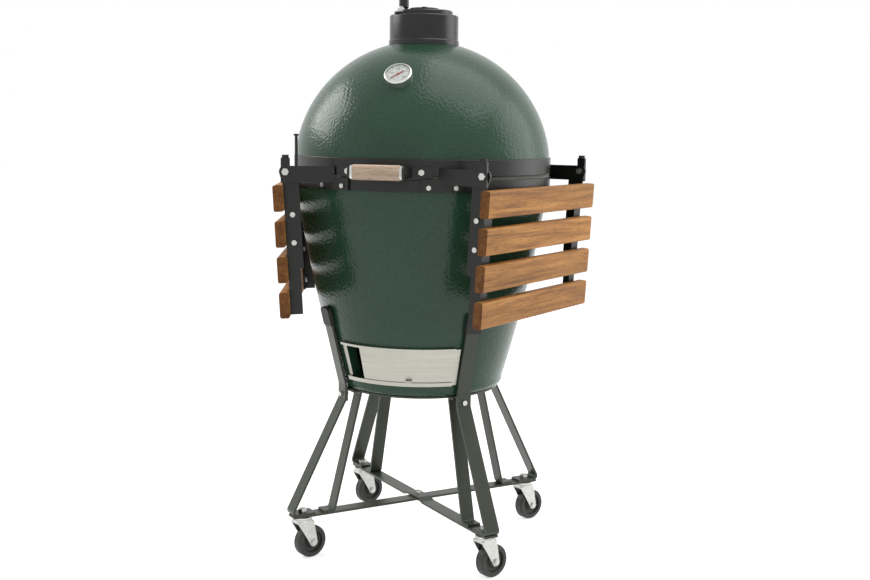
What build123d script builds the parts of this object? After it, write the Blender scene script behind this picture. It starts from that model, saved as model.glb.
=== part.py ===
from build123d import *
from math import asin, atan2, cos, degrees, hypot, radians, sin, sqrt
import os

# Kamado ceramic grill on a wheeled steel stand, with two fold-down wooden side shelves.
# Millimetres. +Z is up and the floor is Z = 0. The axis of the ceramic body is X = Y = 0.
# The front, with the handle, the thermometer and the draft door, faces -Y, and the lid's hinge is at +Y.

# ---- Driving dimensions ----

# Clearances
RUN_GAP = 0.06          # radial gap of a shaft that turns in a hole
MOVE_GAP = 0.4          # gap between pieces that slide past each other

# Heights of the stand
CASTER_H = 93.0         # floor to the underside of the cross straps
STAND_RISE = 272.0      # underside of the cross straps to the underside of the ceramic

# Ceramic body
RIM_R = 275.0           # outer radius of both shells at the parting line
WALL = 22.0             # wall of both shells
FLOOR_T = 25.0          # floor of the base
BASE_H = 460.0          # height of the base
FOOT_R = 183.0          # outer radius just above the foot
FOOT_ROUND = 20.0       # height of the rounded corner under the foot
FOOT_IN = 17.0          # how far that corner comes in
BELLY_BULGE = 7.0       # how far the side bows out from a straight cone
RIM_H = 25.0            # straight band at the top of the base
DOME_SKIRT = 10.0       # straight part of the dome that the band grips, beyond its centre height
DOME_SWELL = 2.0        # how much wider than the rim the dome's ellipse is at its centre
DOME_B = 270.0          # half-height of the dome's ellipse
NECK_R = 52.0           # outside of the chimney neck
NECK_WALL = 12.0
NECK_H = 37.0           # neck above the shoulder where the dome ends
SHOULDER_R = 70.0       # radius at which the dome meets the chimney

# Felt gaskets and steel bands
GASKET_T = 2.85
GASKET_W = 22.0
BAND_T = 3.5
LOWER_BAND_H = 25.0
UPPER_BAND_H = 34.0
BRACKET_PAD = 4.5       # curved pads that join the hinge and the shelf brackets to a band

# Draft opening at the front of the base
DRAFT_Z = 41.0          # underside of the ceramic to the opening
DRAFT_H = 70.0
DRAFT_HALF = 30.0       # half-angle of the opening
DRAFT_TURN = -3.0       # its middle lies this far to the left of the front
FRAME_SIDE = 3.5        # angle that the frame adds beside the opening
FRAME_LAP = 16.0        # how far the frame reaches above and below the opening
FRAME_T = 1.5
LIP_H = 8.0             # lips of the frame that hold the door
PANEL_T = 1.2           # door and screen
PANEL_LAP = 0.5         # angle by which door and screen outreach the opening at each end
PANEL_REST = 9.0        # both rest this far to the right of the front, so that a slot stays open
TAB_HALF = 2.0          # half-angle of the door's pull tab
SCREEN_PITCH = 6.0      # angle between the screen's slots
SCREEN_SLOT = 3.0       # angle of each

# Inside the base
FIRE_BOX_H = 250.0
FIRE_BOX_GAP = 27.0     # base's inner wall to the fire box at its top
FIRE_BOX_FOOT_GAP = 35.0  # and at its foot
FIRE_BOX_WALL = 16.0
FIRE_BOX_FLOOR = 12.0
FIRE_HOLES = 6
FIRE_HOLE_R = 12.0
PORT_HALF = 20.0        # half-angle of the port in the fire box
PORT_DROP = 12.0        # top of that port below the top of the draft opening
GRATE_R = 112.0
GRATE_T = 10.0
FIRE_RING_H = 150.0
FIRE_RING_GAP = 15.5    # base's inner wall to the ring at its top
FIRE_RING_WALL = 16.0
GRID_IN = 7.5           # the 457 mm cooking grid stops this far inside the ring's outer edge
GRID_T = 6.0
GRID_RIM = 7.0
GRID_BAR = 4.0
GRID_PITCH = 19.0

# Chimney cap
CAP_WALL = 6.0
CAP_LIP = 9.6           # how far the lip at its foot stands out
CAP_LIP_H = 15.0
CAP_H = 62.0
LID_R = 51.0            # sliding lid
LID_T = 9.5
EAR_R = 14.0            # ear of the lid round its pivot
EAR_T = 4.0
CAP_LUG_H = 10.0        # lug of the sleeve under that ear
DAISY_R = 30.5
DAISY_T = 5.0
CAP_BOLT_R = 4.0
CAP_PIVOT_R = 62.0      # pivot of the sliding lid from the cap's axis
CAP_PIVOT_TURN = -37.0  # and its direction from the front
KNOB_R = 10.5
KNOB_H = 42.0
KNOB_AT = 44.0          # knob from the cap's axis
KNOB_TURN = -66.0       # and its direction from the front

# Thermometer
THERMO_Z = 184.0        # its height above the dome's centre
THERMO_R = 28.5
THERMO_T = 14.0
THERMO_TURN = 2.0
STEM_R = 4.0
STEM_L = 62.0
NEEDLE_REST = -140.0    # cold, the needle points to the lower left

# Handle
GRIP_L = 96.0
GRIP_H = 30.0
GRIP_T = 21.0
GRIP_OUT = 41.5         # band to the middle of the grip
HANDLE_PLATE = 5.0
HANDLE_ARM_H = 22.0
HANDLE_FOOT_HALF = 4.6  # half-angle of each foot on the band
HANDLE_FOOT_T = 4.0

# Rear hinge and its two lift springs
PIVOT_OUT = 31.5        # band to the pivot
PIVOT_LIFT = 10.0       # pivot above the parting line
PIVOT_R = 6.0
TAIL_R = 36.0           # pivot to the springs' cross pin
TAIL_RISE = 37.5        # the tails rise by this angle when the lid is shut
CHEEK_X = 60.0
CHEEK_T = 5.0
SPRING_X = 36.0
ROD_R = 3.0
SPRING_R = 8.5
SPRING_WIRE = 1.5
SPRING_L = 92.0
SPRING_TURNS = 9

# Stand
STRAP_W = 31.0
STRAP_T = 5.0
LEG_W = 33.0
INNER_LEG_W = 30.0
FOOT_CORNER_R = 316.0   # outermost corner of each foot
LEG_TAB = 54.0
KNEE_DROP = 21.0        # lower knee of the outer legs below the ceramic's underside
KNEE_RISE = 11.0        # upper knee above it
LEG_TOP = 175.0         # top of the outer legs above the ceramic's underside
LEG_STANDOFF = 4.5      # outer legs to the ceramic at their top
LEG_GAP = 5.0           # and to the ceramic just above its foot
LEG_BOLT_DROP = 12.0    # bolt of each outer leg below the ceramic's underside
INNER_FOOT_IN = 100.0   # foot of the inner legs from the corner of the outer ones
RING_T = 4.0            # flat ring under the ceramic
RING_LEDGE = 16.0       # how far it reaches in under the flat underside
RING_LAP = 6.0          # and how far it stands out beyond it
LUG_W = 26.0            # lugs of the ring, bent down behind the outer legs
LUG_DROP = 26.0

# Casters
STEM_IN = 31.0          # caster stems from the corner of the feet
WHEEL_R = 35.0
WHEEL_W = 24.0
TRAIL = 18.6
CASTER_TURN = 53.7      # all four trail towards this direction
CASTER_STEM_R = 5.0
AXLE_R = 4.0
FORK_T = 2.5

# Side shelves
SHELF_TURN = -17.5      # direction in which the right shelf faces
SLAT_H = 53.0
SLAT_T = 20.0
SLAT_GAP = 19.3
SLATS = 4
FIRST_SLAT = 26.0       # pivot to the first slat
FOLD_OUT = 2.5          # fold pivot outside the band's radius
FOLD_UP = 7.0           # pivot above the parting line
FACE_OUT = 26.5         # pivot to the slats' outer face
HANG_TILT = 3.2         # a hanging shelf leans in by this angle
BRACKET_CLEAR = 3.85    # angle between a front bracket and the foot of the handle
SLAT_END = 19.0         # how far the slats reach past the hinge plates
ARM_T = 5.0
ARM_W = 32.0
ARM_L = 197.0
RAIL_IN = 4.0           # rails end this far inside the outermost slats' edges
ARM_BOLT_END = 53.0     # end of a hinge plate to its lower bolt
ARM_BOLT_PITCH = 57.0
RAIL_W = 25.0
RAIL_T = 4.0
BRACKET_T = 6.0
BRACKET_UP = 12.0       # bracket above and below the fold pivot
BRACKET_DOWN = 20.0
POST_W = 18.0
POST_H = 50.0
POST_DROP = 22.0        # foot of the post below the fold pivot
TOOL_PIN_H = 60.0
TOOL_PIN_IN = 22.0      # tool pin from the fold pivot
FOLD_R = 4.0

# ---- Heights and radii that follow ----

strap_z = CASTER_H
strap_top = strap_z + STRAP_T
foot_z = strap_z + STAND_RISE
rim_z = foot_z + BASE_H
parting_z = rim_z + GASKET_T + MOVE_GAP / 2
dome_z = rim_z + 2 * GASKET_T + MOVE_GAP
band_r = RIM_R + BAND_T
pivot_y = band_r + PIVOT_OUT
grip_y = band_r + GRIP_OUT
upper_band_top = dome_z + UPPER_BAND_H
dome_mid = dome_z + DOME_SKIRT
dome_a = RIM_R + DOME_SWELL


def turned(shape, angle):
    """Turn a shape that was built towards +X."""
    return Rot(0, 0, angle) * shape


def to_front(shape, turn=0):
    """Turn a shape that was built towards +X to the front, and then by turn towards +X."""
    return turned(shape, turn - 90)


def spun(outline, arc=360):
    """Spin an outline of (radius, height), given as one face, about the body's axis."""
    half = 0 if arc == 360 else arc / 2
    return turned(revolve(Plane.XZ * outline, Axis.Z, revolution_arc=arc), -half)


def tube(r_out, r_in, z_low, height):
    outline = Pos((r_out + r_in) / 2, z_low + height / 2) * Rectangle(r_out - r_in, height)
    return spun(outline)


def disc(radius, z_low, height):
    return Pos(0, 0, z_low) * extrude(Circle(radius), height)


def block(x, y, z):
    """A box from (low, high) pairs along each axis."""
    size = [high - low for low, high in (x, y, z)]
    middle = [(high + low) / 2 for low, high in (x, y, z)]
    return Pos(*middle) * Box(*size)


def hex_prism(across_flats, height):
    return extrude(RegularPolygon(across_flats / 2, 6, major_radius=False), height)


def bolt(radius, length, head_t, head_flats):
    """A hex-headed bolt along +Z: its head lies above Z = 0 and its shank below."""
    return hex_prism(head_flats, head_t) + Pos(0, 0, -length) * extrude(Circle(radius), length + head_t / 2)


def plate(face, y_low, y_high):
    """Thicken a face that lies in the X-Z plane from y_low to y_high."""
    return Pos(0, y_high, 0) * extrude(face, y_high - y_low)


def hull(*shapes):
    """The face that a taut string round some flat shapes would enclose."""
    return make_hull([edge for shape in shapes for edge in shape.edges()])


# ---- Ceramic shells ----

def circle_through(first, middle, last):
    """Centre and radius of the circle through three (radius, height) points."""
    (ax, ay), (bx, by), (cx, cy) = first, middle, last
    d = 2 * (ax * (by - cy) + bx * (cy - ay) + cx * (ay - by))
    a2, b2, c2 = ax * ax + ay * ay, bx * bx + by * by, cx * cx + cy * cy
    x = (a2 * (by - cy) + b2 * (cy - ay) + c2 * (ay - by)) / d
    y = (a2 * (cx - bx) + b2 * (ax - cx) + c2 * (bx - ax)) / d
    return x, y, hypot(ax - x, ay - y)


belly_low = (FOOT_R, foot_z + FOOT_ROUND)
belly_high = (RIM_R, rim_z - RIM_H)
belly_mid = ((FOOT_R + RIM_R) / 2 + BELLY_BULGE, (belly_low[1] + belly_high[1]) / 2)
belly_x, belly_y, belly_radius = circle_through(belly_low, belly_mid, belly_high)


def belly_r(z):
    """Outer radius of the ceramic base at a height."""
    return belly_x + sqrt(belly_radius ** 2 - (z - belly_y) ** 2)


def dome_r(z, grow=0):
    """Outer radius of the dome at a height, with both half-axes grown."""
    rise = (z - dome_mid) / (DOME_B + grow)
    return (dome_a + grow) * sqrt(1 - rise * rise)


def dome_height(radius, grow=0):
    share = radius / (dome_a + grow)
    return dome_mid + (DOME_B + grow) * sqrt(1 - share * share)


draft_low = foot_z + DRAFT_Z
draft_high = draft_low + DRAFT_H
draft_mid = (draft_low + draft_high) / 2
draft_lean = degrees(atan2(belly_r(draft_high) - belly_r(draft_low), DRAFT_H))


def make_base_shell():
    floor = foot_z + FLOOR_T
    corner = (FOOT_R - FOOT_IN, foot_z)
    corner_mid = (FOOT_R - FOOT_IN * 0.22, foot_z + FOOT_ROUND * 0.32)
    inner_foot = (FOOT_R - WALL, floor)
    inner_high = (RIM_R - WALL, belly_high[1])
    outline = make_face([
        Line((0, foot_z), corner),
        ThreePointArc(corner, corner_mid, belly_low),
        ThreePointArc(belly_low, belly_mid, belly_high),
        Line(belly_high, (RIM_R, rim_z)),
        Line((RIM_R, rim_z), (RIM_R - WALL, rim_z)),
        Line((RIM_R - WALL, rim_z), inner_high),
        ThreePointArc(inner_high, (belly_mid[0] - WALL, belly_mid[1]), inner_foot),
        Line(inner_foot, (0, floor)),
        Line((0, floor), (0, foot_z)),
    ])
    opening = Pos(RIM_R / 2 + FOOT_R / 4, draft_mid) * Rectangle(RIM_R, DRAFT_H)
    return spun(outline) - to_front(spun(opening, 2 * DRAFT_HALF), DRAFT_TURN)


shoulder_z = dome_height(SHOULDER_R)
neck_top = shoulder_z + NECK_H
skirt_top = dome_height(RIM_R)


def area(r_low, r_high, z_low, z_high):
    """A rectangle of (radius, height)."""
    return Pos((r_low + r_high) / 2, (z_low + z_high) / 2) * Rectangle(r_high - r_low, z_high - z_low)


def make_dome_shell():
    throat_r = NECK_R - NECK_WALL
    outer = Pos(0, dome_mid) * Ellipse(dome_a, DOME_B) & area(0, dome_a, skirt_top, shoulder_z)
    outer += area(0, RIM_R, dome_z, skirt_top) + area(0, NECK_R, shoulder_z - WALL, neck_top)
    inner = Pos(0, dome_mid) * Ellipse(dome_a - WALL, DOME_B - WALL)
    inner &= area(0, dome_a, dome_mid, shoulder_z)
    inner += area(0, dome_a - WALL, dome_z, dome_mid) + area(0, throat_r, dome_mid, neck_top)
    shell = spun(outer - inner)
    return shell - on_dome(disc(STEM_R + MOVE_GAP, -2 * WALL, 3 * WALL))


# ---- Thermometer ----

thermo_r = dome_r(dome_mid + THERMO_Z)
thermo_tilt = degrees(atan2(THERMO_Z / DOME_B ** 2, thermo_r / dome_a ** 2))


def on_dome(shape):
    """Seat a shape that was built along +Z on the front of the dome, square to its surface."""
    return to_front(Pos(thermo_r, 0, dome_mid + THERMO_Z) * Rot(0, 90 - thermo_tilt, 0) * shape, THERMO_TURN)


def make_thermometer_case(dome):
    """Pressed bezel with a rolled edge, open at the front, on the stem that carries it."""
    bezel = disc(THERMO_R, -3, THERMO_T + 3)
    bezel = fillet(bezel.edges().group_by(Axis.Z)[-1], 2.5)
    bezel -= disc(THERMO_R - 3, THERMO_T - 6, 10)
    stem = disc(STEM_R, -STEM_L, STEM_L)
    nut = Pos(0, 0, -WALL - 6.6) * (hex_prism(17, 6) - disc(STEM_R, -1, 8))
    return Compound([on_dome(bezel) - dome + on_dome(stem), on_dome(nut)])


def make_thermometer_dial():
    return on_dome(disc(THERMO_R - 3.4, THERMO_T - 6, 1.2))


def make_thermometer_pointer():
    """Needle with a counterweight on a boss that turns over the dial."""
    needle = Polygon((-1.6, -4), (1.6, -4), (0.4, 19), (-0.4, 19), align=None)
    outline = needle + Circle(3.2) + Pos(0, -7) * RectangleRounded(3.2, 8, 1)
    return on_dome(Pos(0, 0, THERMO_T - 4.4) * Rot(0, 0, NEEDLE_REST) * extrude(outline, 0.8))


def make_thermometer_lens():
    return on_dome(disc(THERMO_R - 3.4, THERMO_T - 2.9, 1.5))


# ---- Felt and bands ----

def make_gasket(z_low):
    return tube(RIM_R + 1, RIM_R + 1 - GASKET_W, z_low, GASKET_T)


def make_band(z_low, height):
    band = tube(band_r, RIM_R, z_low, height)
    return fillet(band.edges().filter_by(GeomType.CIRCLE).group_by(SortBy.RADIUS)[-1], 1.2)


# ---- Draft frame, door and ember screen ----

def leaning(*areas):
    """
    An outline that lies along the side of the base, from areas of (start, thickness, low,
    high): start and thickness are square to the ceramic, low and high run along it from
    the middle of the draft opening.
    """
    shape = Sketch() + [area(start, start + thickness, low, high) for start, thickness, low, high in areas]
    return Pos(belly_r(draft_mid), draft_mid) * Rot(0, 0, -draft_lean) * shape


screen_start = FRAME_T + MOVE_GAP
door_start = screen_start + PANEL_T + MOVE_GAP
lip_start = door_start + PANEL_T + MOVE_GAP
frame_reach = DRAFT_H / 2 + FRAME_LAP
panel_reach = frame_reach - FRAME_T - MOVE_GAP
frame_half = DRAFT_HALF + abs(DRAFT_TURN) + FRAME_SIDE
panel_half = DRAFT_HALF + PANEL_LAP


def make_draft_frame():
    """Bent stainless frame: a back plate with a window, and a lipped track above and below it."""
    depth = lip_start + FRAME_T
    section = leaning(
        (0, FRAME_T, -frame_reach, frame_reach),
        (0, depth, -frame_reach, FRAME_T - frame_reach), (0, depth, frame_reach - FRAME_T, frame_reach),
        (lip_start, FRAME_T, -frame_reach, LIP_H - frame_reach),
        (lip_start, FRAME_T, frame_reach - LIP_H, frame_reach))
    window = leaning((-FRAME_T, 3 * FRAME_T, -DRAFT_H / 2, DRAFT_H / 2))
    return to_front(spun(section, 2 * frame_half)) - to_front(spun(window, 2 * DRAFT_HALF), DRAFT_TURN)


def make_draft_door():
    """Solid stainless door with a rolled pull tab over the lower lip."""
    door = spun(leaning((door_start, PANEL_T, -panel_reach, panel_reach)), 2 * panel_half)
    tab_low = -panel_reach + LIP_H + 2
    tab = spun(leaning((door_start, 9, tab_low, tab_low + 3)), 2 * TAB_HALF)
    return to_front(door + tab, PANEL_REST)


def make_draft_screen():
    """Perforated stainless screen that keeps embers in."""
    screen = spun(leaning((screen_start, PANEL_T, -panel_reach, panel_reach)), 2 * panel_half)
    slot = spun(leaning((0, 9, -DRAFT_H * 0.36, DRAFT_H * 0.36)), SCREEN_SLOT)
    count = int((DRAFT_HALF - SCREEN_SLOT) / SCREEN_PITCH)
    for k in range(-count, count + 1):
        screen -= turned(slot, k * SCREEN_PITCH)
    return to_front(screen, PANEL_REST)


# ---- Inside the base ----

fire_floor = foot_z + FLOOR_T
fire_box_top = fire_floor + FIRE_BOX_H
grate_z = fire_floor + DRAFT_Z + DRAFT_H - FLOOR_T
fire_ring_top = fire_box_top + FIRE_RING_H
fire_box_r = belly_r(fire_box_top) - WALL - FIRE_BOX_GAP
fire_foot_r = FOOT_R - WALL - FIRE_BOX_FOOT_GAP
fire_ring_r = belly_r(fire_ring_top) - WALL - FIRE_RING_GAP
grid_r = fire_ring_r - GRID_IN


def make_fire_box():
    """Tapered ceramic box with an ash floor under its grate, air holes and a front port."""
    ledge_top = grate_z + GRATE_T + 8
    floor_top = fire_floor + FIRE_BOX_FLOOR
    outline = Polygon(
        (0, fire_floor), (fire_foot_r, fire_floor), (fire_box_r, fire_box_top),
        (fire_box_r - FIRE_BOX_WALL, fire_box_top), (GRATE_R + 8, ledge_top),
        (GRATE_R + MOVE_GAP, ledge_top), (GRATE_R + MOVE_GAP, grate_z),
        (GRATE_R - 10, grate_z), (GRATE_R - 10, floor_top), (0, floor_top), align=None)
    port = area(fire_foot_r / 2, RIM_R, draft_low, draft_high - PORT_DROP)
    box = spun(outline) - to_front(spun(port, 2 * PORT_HALF))
    hole = Pos(0, 0, (grate_z + fire_box_top) / 2 + 20) * Rot(0, 90, 0) * disc(FIRE_HOLE_R, 0, RIM_R)
    for k in range(FIRE_HOLES):
        box -= turned(hole, 360 / FIRE_HOLES * (k + 0.5))
    return box


def make_fire_grate():
    """Cast-iron coal grate, slotted between its ribs."""
    plan = Circle(GRATE_R)
    pitch = 22
    for k in range(-4, 5):
        x = k * pitch
        half = sqrt((GRATE_R - 12) ** 2 - (abs(x) + 6) ** 2)
        plan -= Pos(x, 0) * SlotOverall(2 * half, 11, rotation=90)
    return Pos(0, 0, grate_z) * extrude(plan, GRATE_T)


def make_fire_ring():
    """Ceramic ring on the fire box, with a wider flat top for the cooking grid."""
    step = 20 * (fire_ring_r - fire_box_r) / FIRE_RING_H
    return spun(Polygon(
        (fire_box_r, fire_box_top), (fire_ring_r, fire_ring_top),
        (fire_ring_r - FIRE_RING_WALL - step, fire_ring_top),
        (fire_box_r - FIRE_RING_WALL, fire_box_top), align=None))


def make_cooking_grid():
    """Rim of the stainless cooking grid, on top of the ceramic ring."""
    return tube(grid_r, grid_r - GRID_RIM, fire_ring_top, GRID_T)


def make_grid_bars():
    """Two stays of the cooking grid, and a row of bars laid across them, inside the rim."""
    field = Circle(grid_r - GRID_RIM)
    layer = GRID_T / 2
    pieces = []
    for y in (-grid_r / 2, grid_r / 2):
        stay = field & Pos(0, y) * Rectangle(2 * grid_r, GRID_BAR)
        pieces.append(Pos(0, 0, fire_ring_top) * extrude(stay, layer))
    count = int((grid_r - GRID_RIM - GRID_BAR) / GRID_PITCH)
    for k in range(-count, count + 1):
        bar = field & Pos(k * GRID_PITCH, 0) * Rectangle(GRID_BAR, 2 * grid_r)
        pieces.append(Pos(0, 0, fire_ring_top + layer) * extrude(bar, layer))
    return Compound(pieces)


# ---- Chimney cap ----

cap_z = shoulder_z
cap_r = NECK_R + MOVE_GAP + CAP_WALL
cap_top = cap_z + CAP_H
lid_z = cap_top + MOVE_GAP
lid_top = lid_z + LID_T
daisy_z = lid_top + MOVE_GAP
daisy_top = daisy_z + DAISY_T
cap_pivot = Rot(0, 0, CAP_PIVOT_TURN - 90) * Pos(CAP_PIVOT_R, 0, 0)
knob_place = Rot(0, 0, KNOB_TURN - 90) * Pos(KNOB_AT, 0, 0)


def make_cap_sleeve():
    """Cast-iron sleeve on the chimney neck, with a lip at its foot and a lug for the lid's pivot."""
    inner = cap_r - CAP_WALL
    sleeve = tube(cap_r, inner, cap_z, CAP_H) + tube(cap_r + CAP_LIP, inner, cap_z, CAP_LIP_H)
    sleeve = fillet(sleeve.edges().filter_by(GeomType.CIRCLE).group_by(SortBy.RADIUS)[-1], 3)
    sleeve += tube(cap_r, NECK_R - NECK_WALL, neck_top, CAP_WALL)
    arm = hull(Circle(EAR_R - 4), Pos(-CAP_PIVOT_R + inner + 2, 0) * Rectangle(2, 2 * EAR_R))
    sleeve += cap_pivot * Pos(0, 0, cap_top - CAP_LUG_H) * extrude(arm, CAP_LUG_H)
    return sleeve - cap_pivot * disc(CAP_BOLT_R, cap_top - CAP_LUG_H, CAP_LUG_H)


def make_cap_pivot_bolt():
    """Bright pivot bolt that stands in the sleeve's lug, with a washer and a nut on the lid's ear."""
    ear_top = lid_z + EAR_T + RUN_GAP
    lug_low = cap_top - CAP_LUG_H
    shank = disc(CAP_BOLT_R, lug_low, ear_top + 11 - lug_low)
    return cap_pivot * (shank + disc(8.5, ear_top, 1.5) + Pos(0, 0, ear_top + 1.5) * hex_prism(13, 6.5))


def petals(inner, outer, count):
    """Petal-shaped vents round a disc: open over half of its turn."""
    petal = Circle(outer) - Circle(inner)
    side = Rot(0, 0, 90 / count) * Pos(0, outer / 2) * Rectangle(2 * outer, outer)
    petal = petal - side - mirror(side, Plane.XZ)
    return [Rot(0, 0, 360 / count * k) * petal for k in range(count)]


def make_slide_lid():
    """Cast-iron lid that swings off the chimney: a vented disc with a thin ear round the pivot."""
    disc_plan = Circle(LID_R) + knob_place * Circle(KNOB_R + 3) - petals(8, DAISY_R - 4, 5)
    ear = hull(cap_pivot.inverse() * Circle(20), Circle(EAR_R)) - cap_pivot.inverse() * Circle(LID_R - 1)
    lid = Pos(0, 0, lid_z) * extrude(disc_plan, LID_T)
    lid += cap_pivot * Pos(0, 0, lid_z) * extrude(ear, EAR_T)
    lid += disc(3, lid_z, daisy_top - lid_z + 2) + disc(6, daisy_top + MOVE_GAP, 3)
    return lid - cap_pivot * disc(CAP_BOLT_R + RUN_GAP, lid_z, EAR_T)


def make_daisy_wheel():
    """Vent wheel that turns on the lid's centre stud."""
    plan = Circle(DAISY_R) - Circle(3 + RUN_GAP)
    for petal in petals(8, DAISY_R - 4, 5):
        plan -= Rot(0, 0, 36) * petal
    return Pos(0, 0, daisy_z) * extrude(plan, DAISY_T)


def make_lid_knob():
    """Turned post by the pivot, to push the hot lid with."""
    profile = Polygon((0, 0), (KNOB_R * 0.8, 0), (KNOB_R * 0.8, 4), (KNOB_R, 7), (KNOB_R, KNOB_H - 3),
                      (KNOB_R - 3, KNOB_H), (0, KNOB_H), align=None)
    return knob_place * Pos(0, 0, lid_top) * spun(profile)


# ---- Handle ----

handle_z = parting_z + 11
handle_x = GRIP_L / 2
handle_foot_turn = degrees(asin((handle_x + HANDLE_PLATE) / band_r)) + HANDLE_FOOT_HALF
handle_low, handle_high = handle_z - HANDLE_ARM_H / 2, handle_z + HANDLE_ARM_H / 2


def make_handle_brackets():
    """Two black steel brackets, each bent from the band's foot to the end of the grip."""
    brackets = []
    foot_area = area(band_r, band_r + HANDLE_FOOT_T, handle_low, handle_high)
    inner_x = handle_x + HANDLE_PLATE
    for side in (-1, 1):
        x = sorted((side * inner_x, side * (inner_x + HANDLE_PLATE)))
        arm = block(x, (-grip_y - GRIP_T / 2, -band_r * 0.96), (handle_low, handle_high))
        arm = fillet(arm.edges().filter_by(Axis.X).group_by(Axis.Y)[0], 8)
        foot = to_front(spun(foot_area, 2 * HANDLE_FOOT_HALF), side * handle_foot_turn)
        brackets.append(arm - disc(band_r, rim_z, 2 * UPPER_BAND_H) + foot)
    return Compound(brackets)


def make_handle_grip():
    """Hardwood grip with rounded edges."""
    grip = block((-handle_x, handle_x), (-grip_y - GRIP_T / 2, -grip_y + GRIP_T / 2),
                 (handle_z - GRIP_H / 2, handle_z + GRIP_H / 2))
    return fillet(grip.edges().filter_by(Axis.X), GRIP_T * 0.38)


def make_dome_fasteners():
    """Bright ferrules at both ends of the grip, and the bolts of the handle and the hinge."""
    pieces = []
    for side in (-1, 1):
        x = sorted((side * handle_x, side * (handle_x + HANDLE_PLATE)))
        ferrule = block(x, (-grip_y - GRIP_T / 2 + 0.5, -grip_y + GRIP_T / 2 - 0.5),
                        (handle_z - GRIP_H / 2 + 1, handle_z + GRIP_H / 2 - 1))
        pieces.append(fillet(ferrule.edges().filter_by(Axis.X), GRIP_T * 0.36))
        head = Pos(band_r + HANDLE_FOOT_T, 0, handle_z) * Rot(0, 90, 0) * hex_prism(11, 5)
        pieces.append(to_front(head, side * handle_foot_turn))
        head = Pos(band_r + BRACKET_PAD, 0, arm_pad_z) * Rot(0, 90, 0) * hex_prism(10, 4)
        pieces.append(turned(head, 90 + side * 4.5))
    return Compound(pieces)


# ---- Rear hinge and lift springs ----

pivot_z = parting_z + PIVOT_LIFT
arm_pad_z = dome_z + UPPER_BAND_H / 2
tail_y = pivot_y + TAIL_R * cos(radians(TAIL_RISE))
tail_z = pivot_z + TAIL_R * sin(radians(TAIL_RISE))
rod_y = pivot_y + TAIL_R * (1 + cos(radians(TAIL_RISE))) / 2
shelf_low = rim_z - LOWER_BAND_H - 20
shelf_top = shelf_low + CHEEK_T
tail_pin_r = 3.0
arm_x = CHEEK_X - CHEEK_T / 2 - MOVE_GAP - CHEEK_T


def across(radius, x_low, x_high, y, z):
    """A round bar along X."""
    return Pos(x_low, y, z) * Rot(0, 90, 0) * extrude(Circle(radius), x_high - x_low)


def make_hinge_bracket():
    """Fixed half of the hinge: two cheeks and a spring shelf on a pad that fits the lower band."""
    low, high = shelf_low, pivot_z
    cheek_face = hull(Pos(pivot_y, high) * Circle(13),
                      area(band_r - 10, band_r + 6, rim_z - LOWER_BAND_H, rim_z - 1),
                      area(band_r + 2, rod_y + 14, low, low + 8))
    bracket = turned(spun(area(band_r, band_r + BRACKET_PAD, rim_z - LOWER_BAND_H, rim_z - 1), 34), 90)
    for side in (-1, 1):
        inner = side * CHEEK_X - CHEEK_T / 2
        bracket += Pos(inner, 0, 0) * extrude(Plane.YZ * cheek_face, CHEEK_T)
    bracket += block((-CHEEK_X, CHEEK_X), (band_r + 2, rod_y + 14), (low, shelf_top))
    for side in (-1, 1):
        bracket -= Pos(side * SPRING_X, rod_y, 0) * disc(ROD_R + MOVE_GAP, low - 1, CHEEK_T + 2)
    bracket -= disc(band_r, foot_z, BASE_H)
    bracket -= disc(band_r + BRACKET_PAD - 1.2, rim_z - 0.5, 2 * UPPER_BAND_H)
    return bracket - across(PIVOT_R, -RIM_R, RIM_R, pivot_y, pivot_z)


def make_hinge_pin():
    """Pivot pin with a head at each end, held in the cheeks."""
    end = CHEEK_X + CHEEK_T / 2
    pin = across(PIVOT_R, -end, end, pivot_y, pivot_z)
    for low, high in ((end, end + 4), (-end - 4, -end)):
        pin += across(PIVOT_R + 3, low, high, pivot_y, pivot_z)
    return pin


def make_hinge_arms():
    """Moving half: two lever arms on the upper band's pad, joined by the springs' cross pin."""
    pad = turned(spun(area(band_r, band_r + BRACKET_PAD, dome_z + 1, upper_band_top - 1), 26), 90)
    eye = Pos(pivot_y, pivot_z) * Circle(12)
    arm_face = hull(eye, Pos(band_r, arm_pad_z) * Rectangle(6, 28))
    arm_face += hull(eye, Pos(tail_y, tail_z) * Circle(7))
    arms = pad
    for side in (-1, 1):
        low = min(side * arm_x, side * (arm_x + CHEEK_T))
        arms += Pos(low, 0, 0) * extrude(Plane.YZ * arm_face, CHEEK_T)
    arms -= across(PIVOT_R + RUN_GAP, -RIM_R, RIM_R, pivot_y, pivot_z)
    arms -= disc(band_r, rim_z, BASE_H)
    return arms + across(tail_pin_r, -arm_x - 1, arm_x + 1, tail_y, tail_z)


rod_low = shelf_low - SPRING_L - 14


def make_spring_rods():
    """Two rods, each with a slotted eye round the cross pin and a nut and washer under its spring."""
    slot_half = TAIL_R * (1 - cos(radians(TAIL_RISE))) / 2 + tail_pin_r + 1
    slot_high = 2 * tail_pin_r + 4
    rods = []
    for side in (-1, 1):
        eye = extrude(RectangleRounded(2 * slot_half + 8, slot_high + 8, 5)
                      - SlotOverall(2 * slot_half, slot_high), 2 * ROD_R)
        eye = Pos(side * SPRING_X - ROD_R, rod_y, tail_z) * Rot(0, 90, 0) * Rot(0, 0, 90) * eye
        rod = Pos(side * SPRING_X, rod_y, 0) * disc(ROD_R, rod_low, tail_z - slot_high / 2 - 2 - rod_low)
        washer = Pos(side * SPRING_X, rod_y, 0) * disc(SPRING_R + 2.5, shelf_low - SPRING_L - 2, 2)
        nut = Pos(side * SPRING_X, rod_y, shelf_low - SPRING_L - 8) * hex_prism(11, 6)
        rods.append(eye + rod + washer + nut)
    return Compound(rods)


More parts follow.
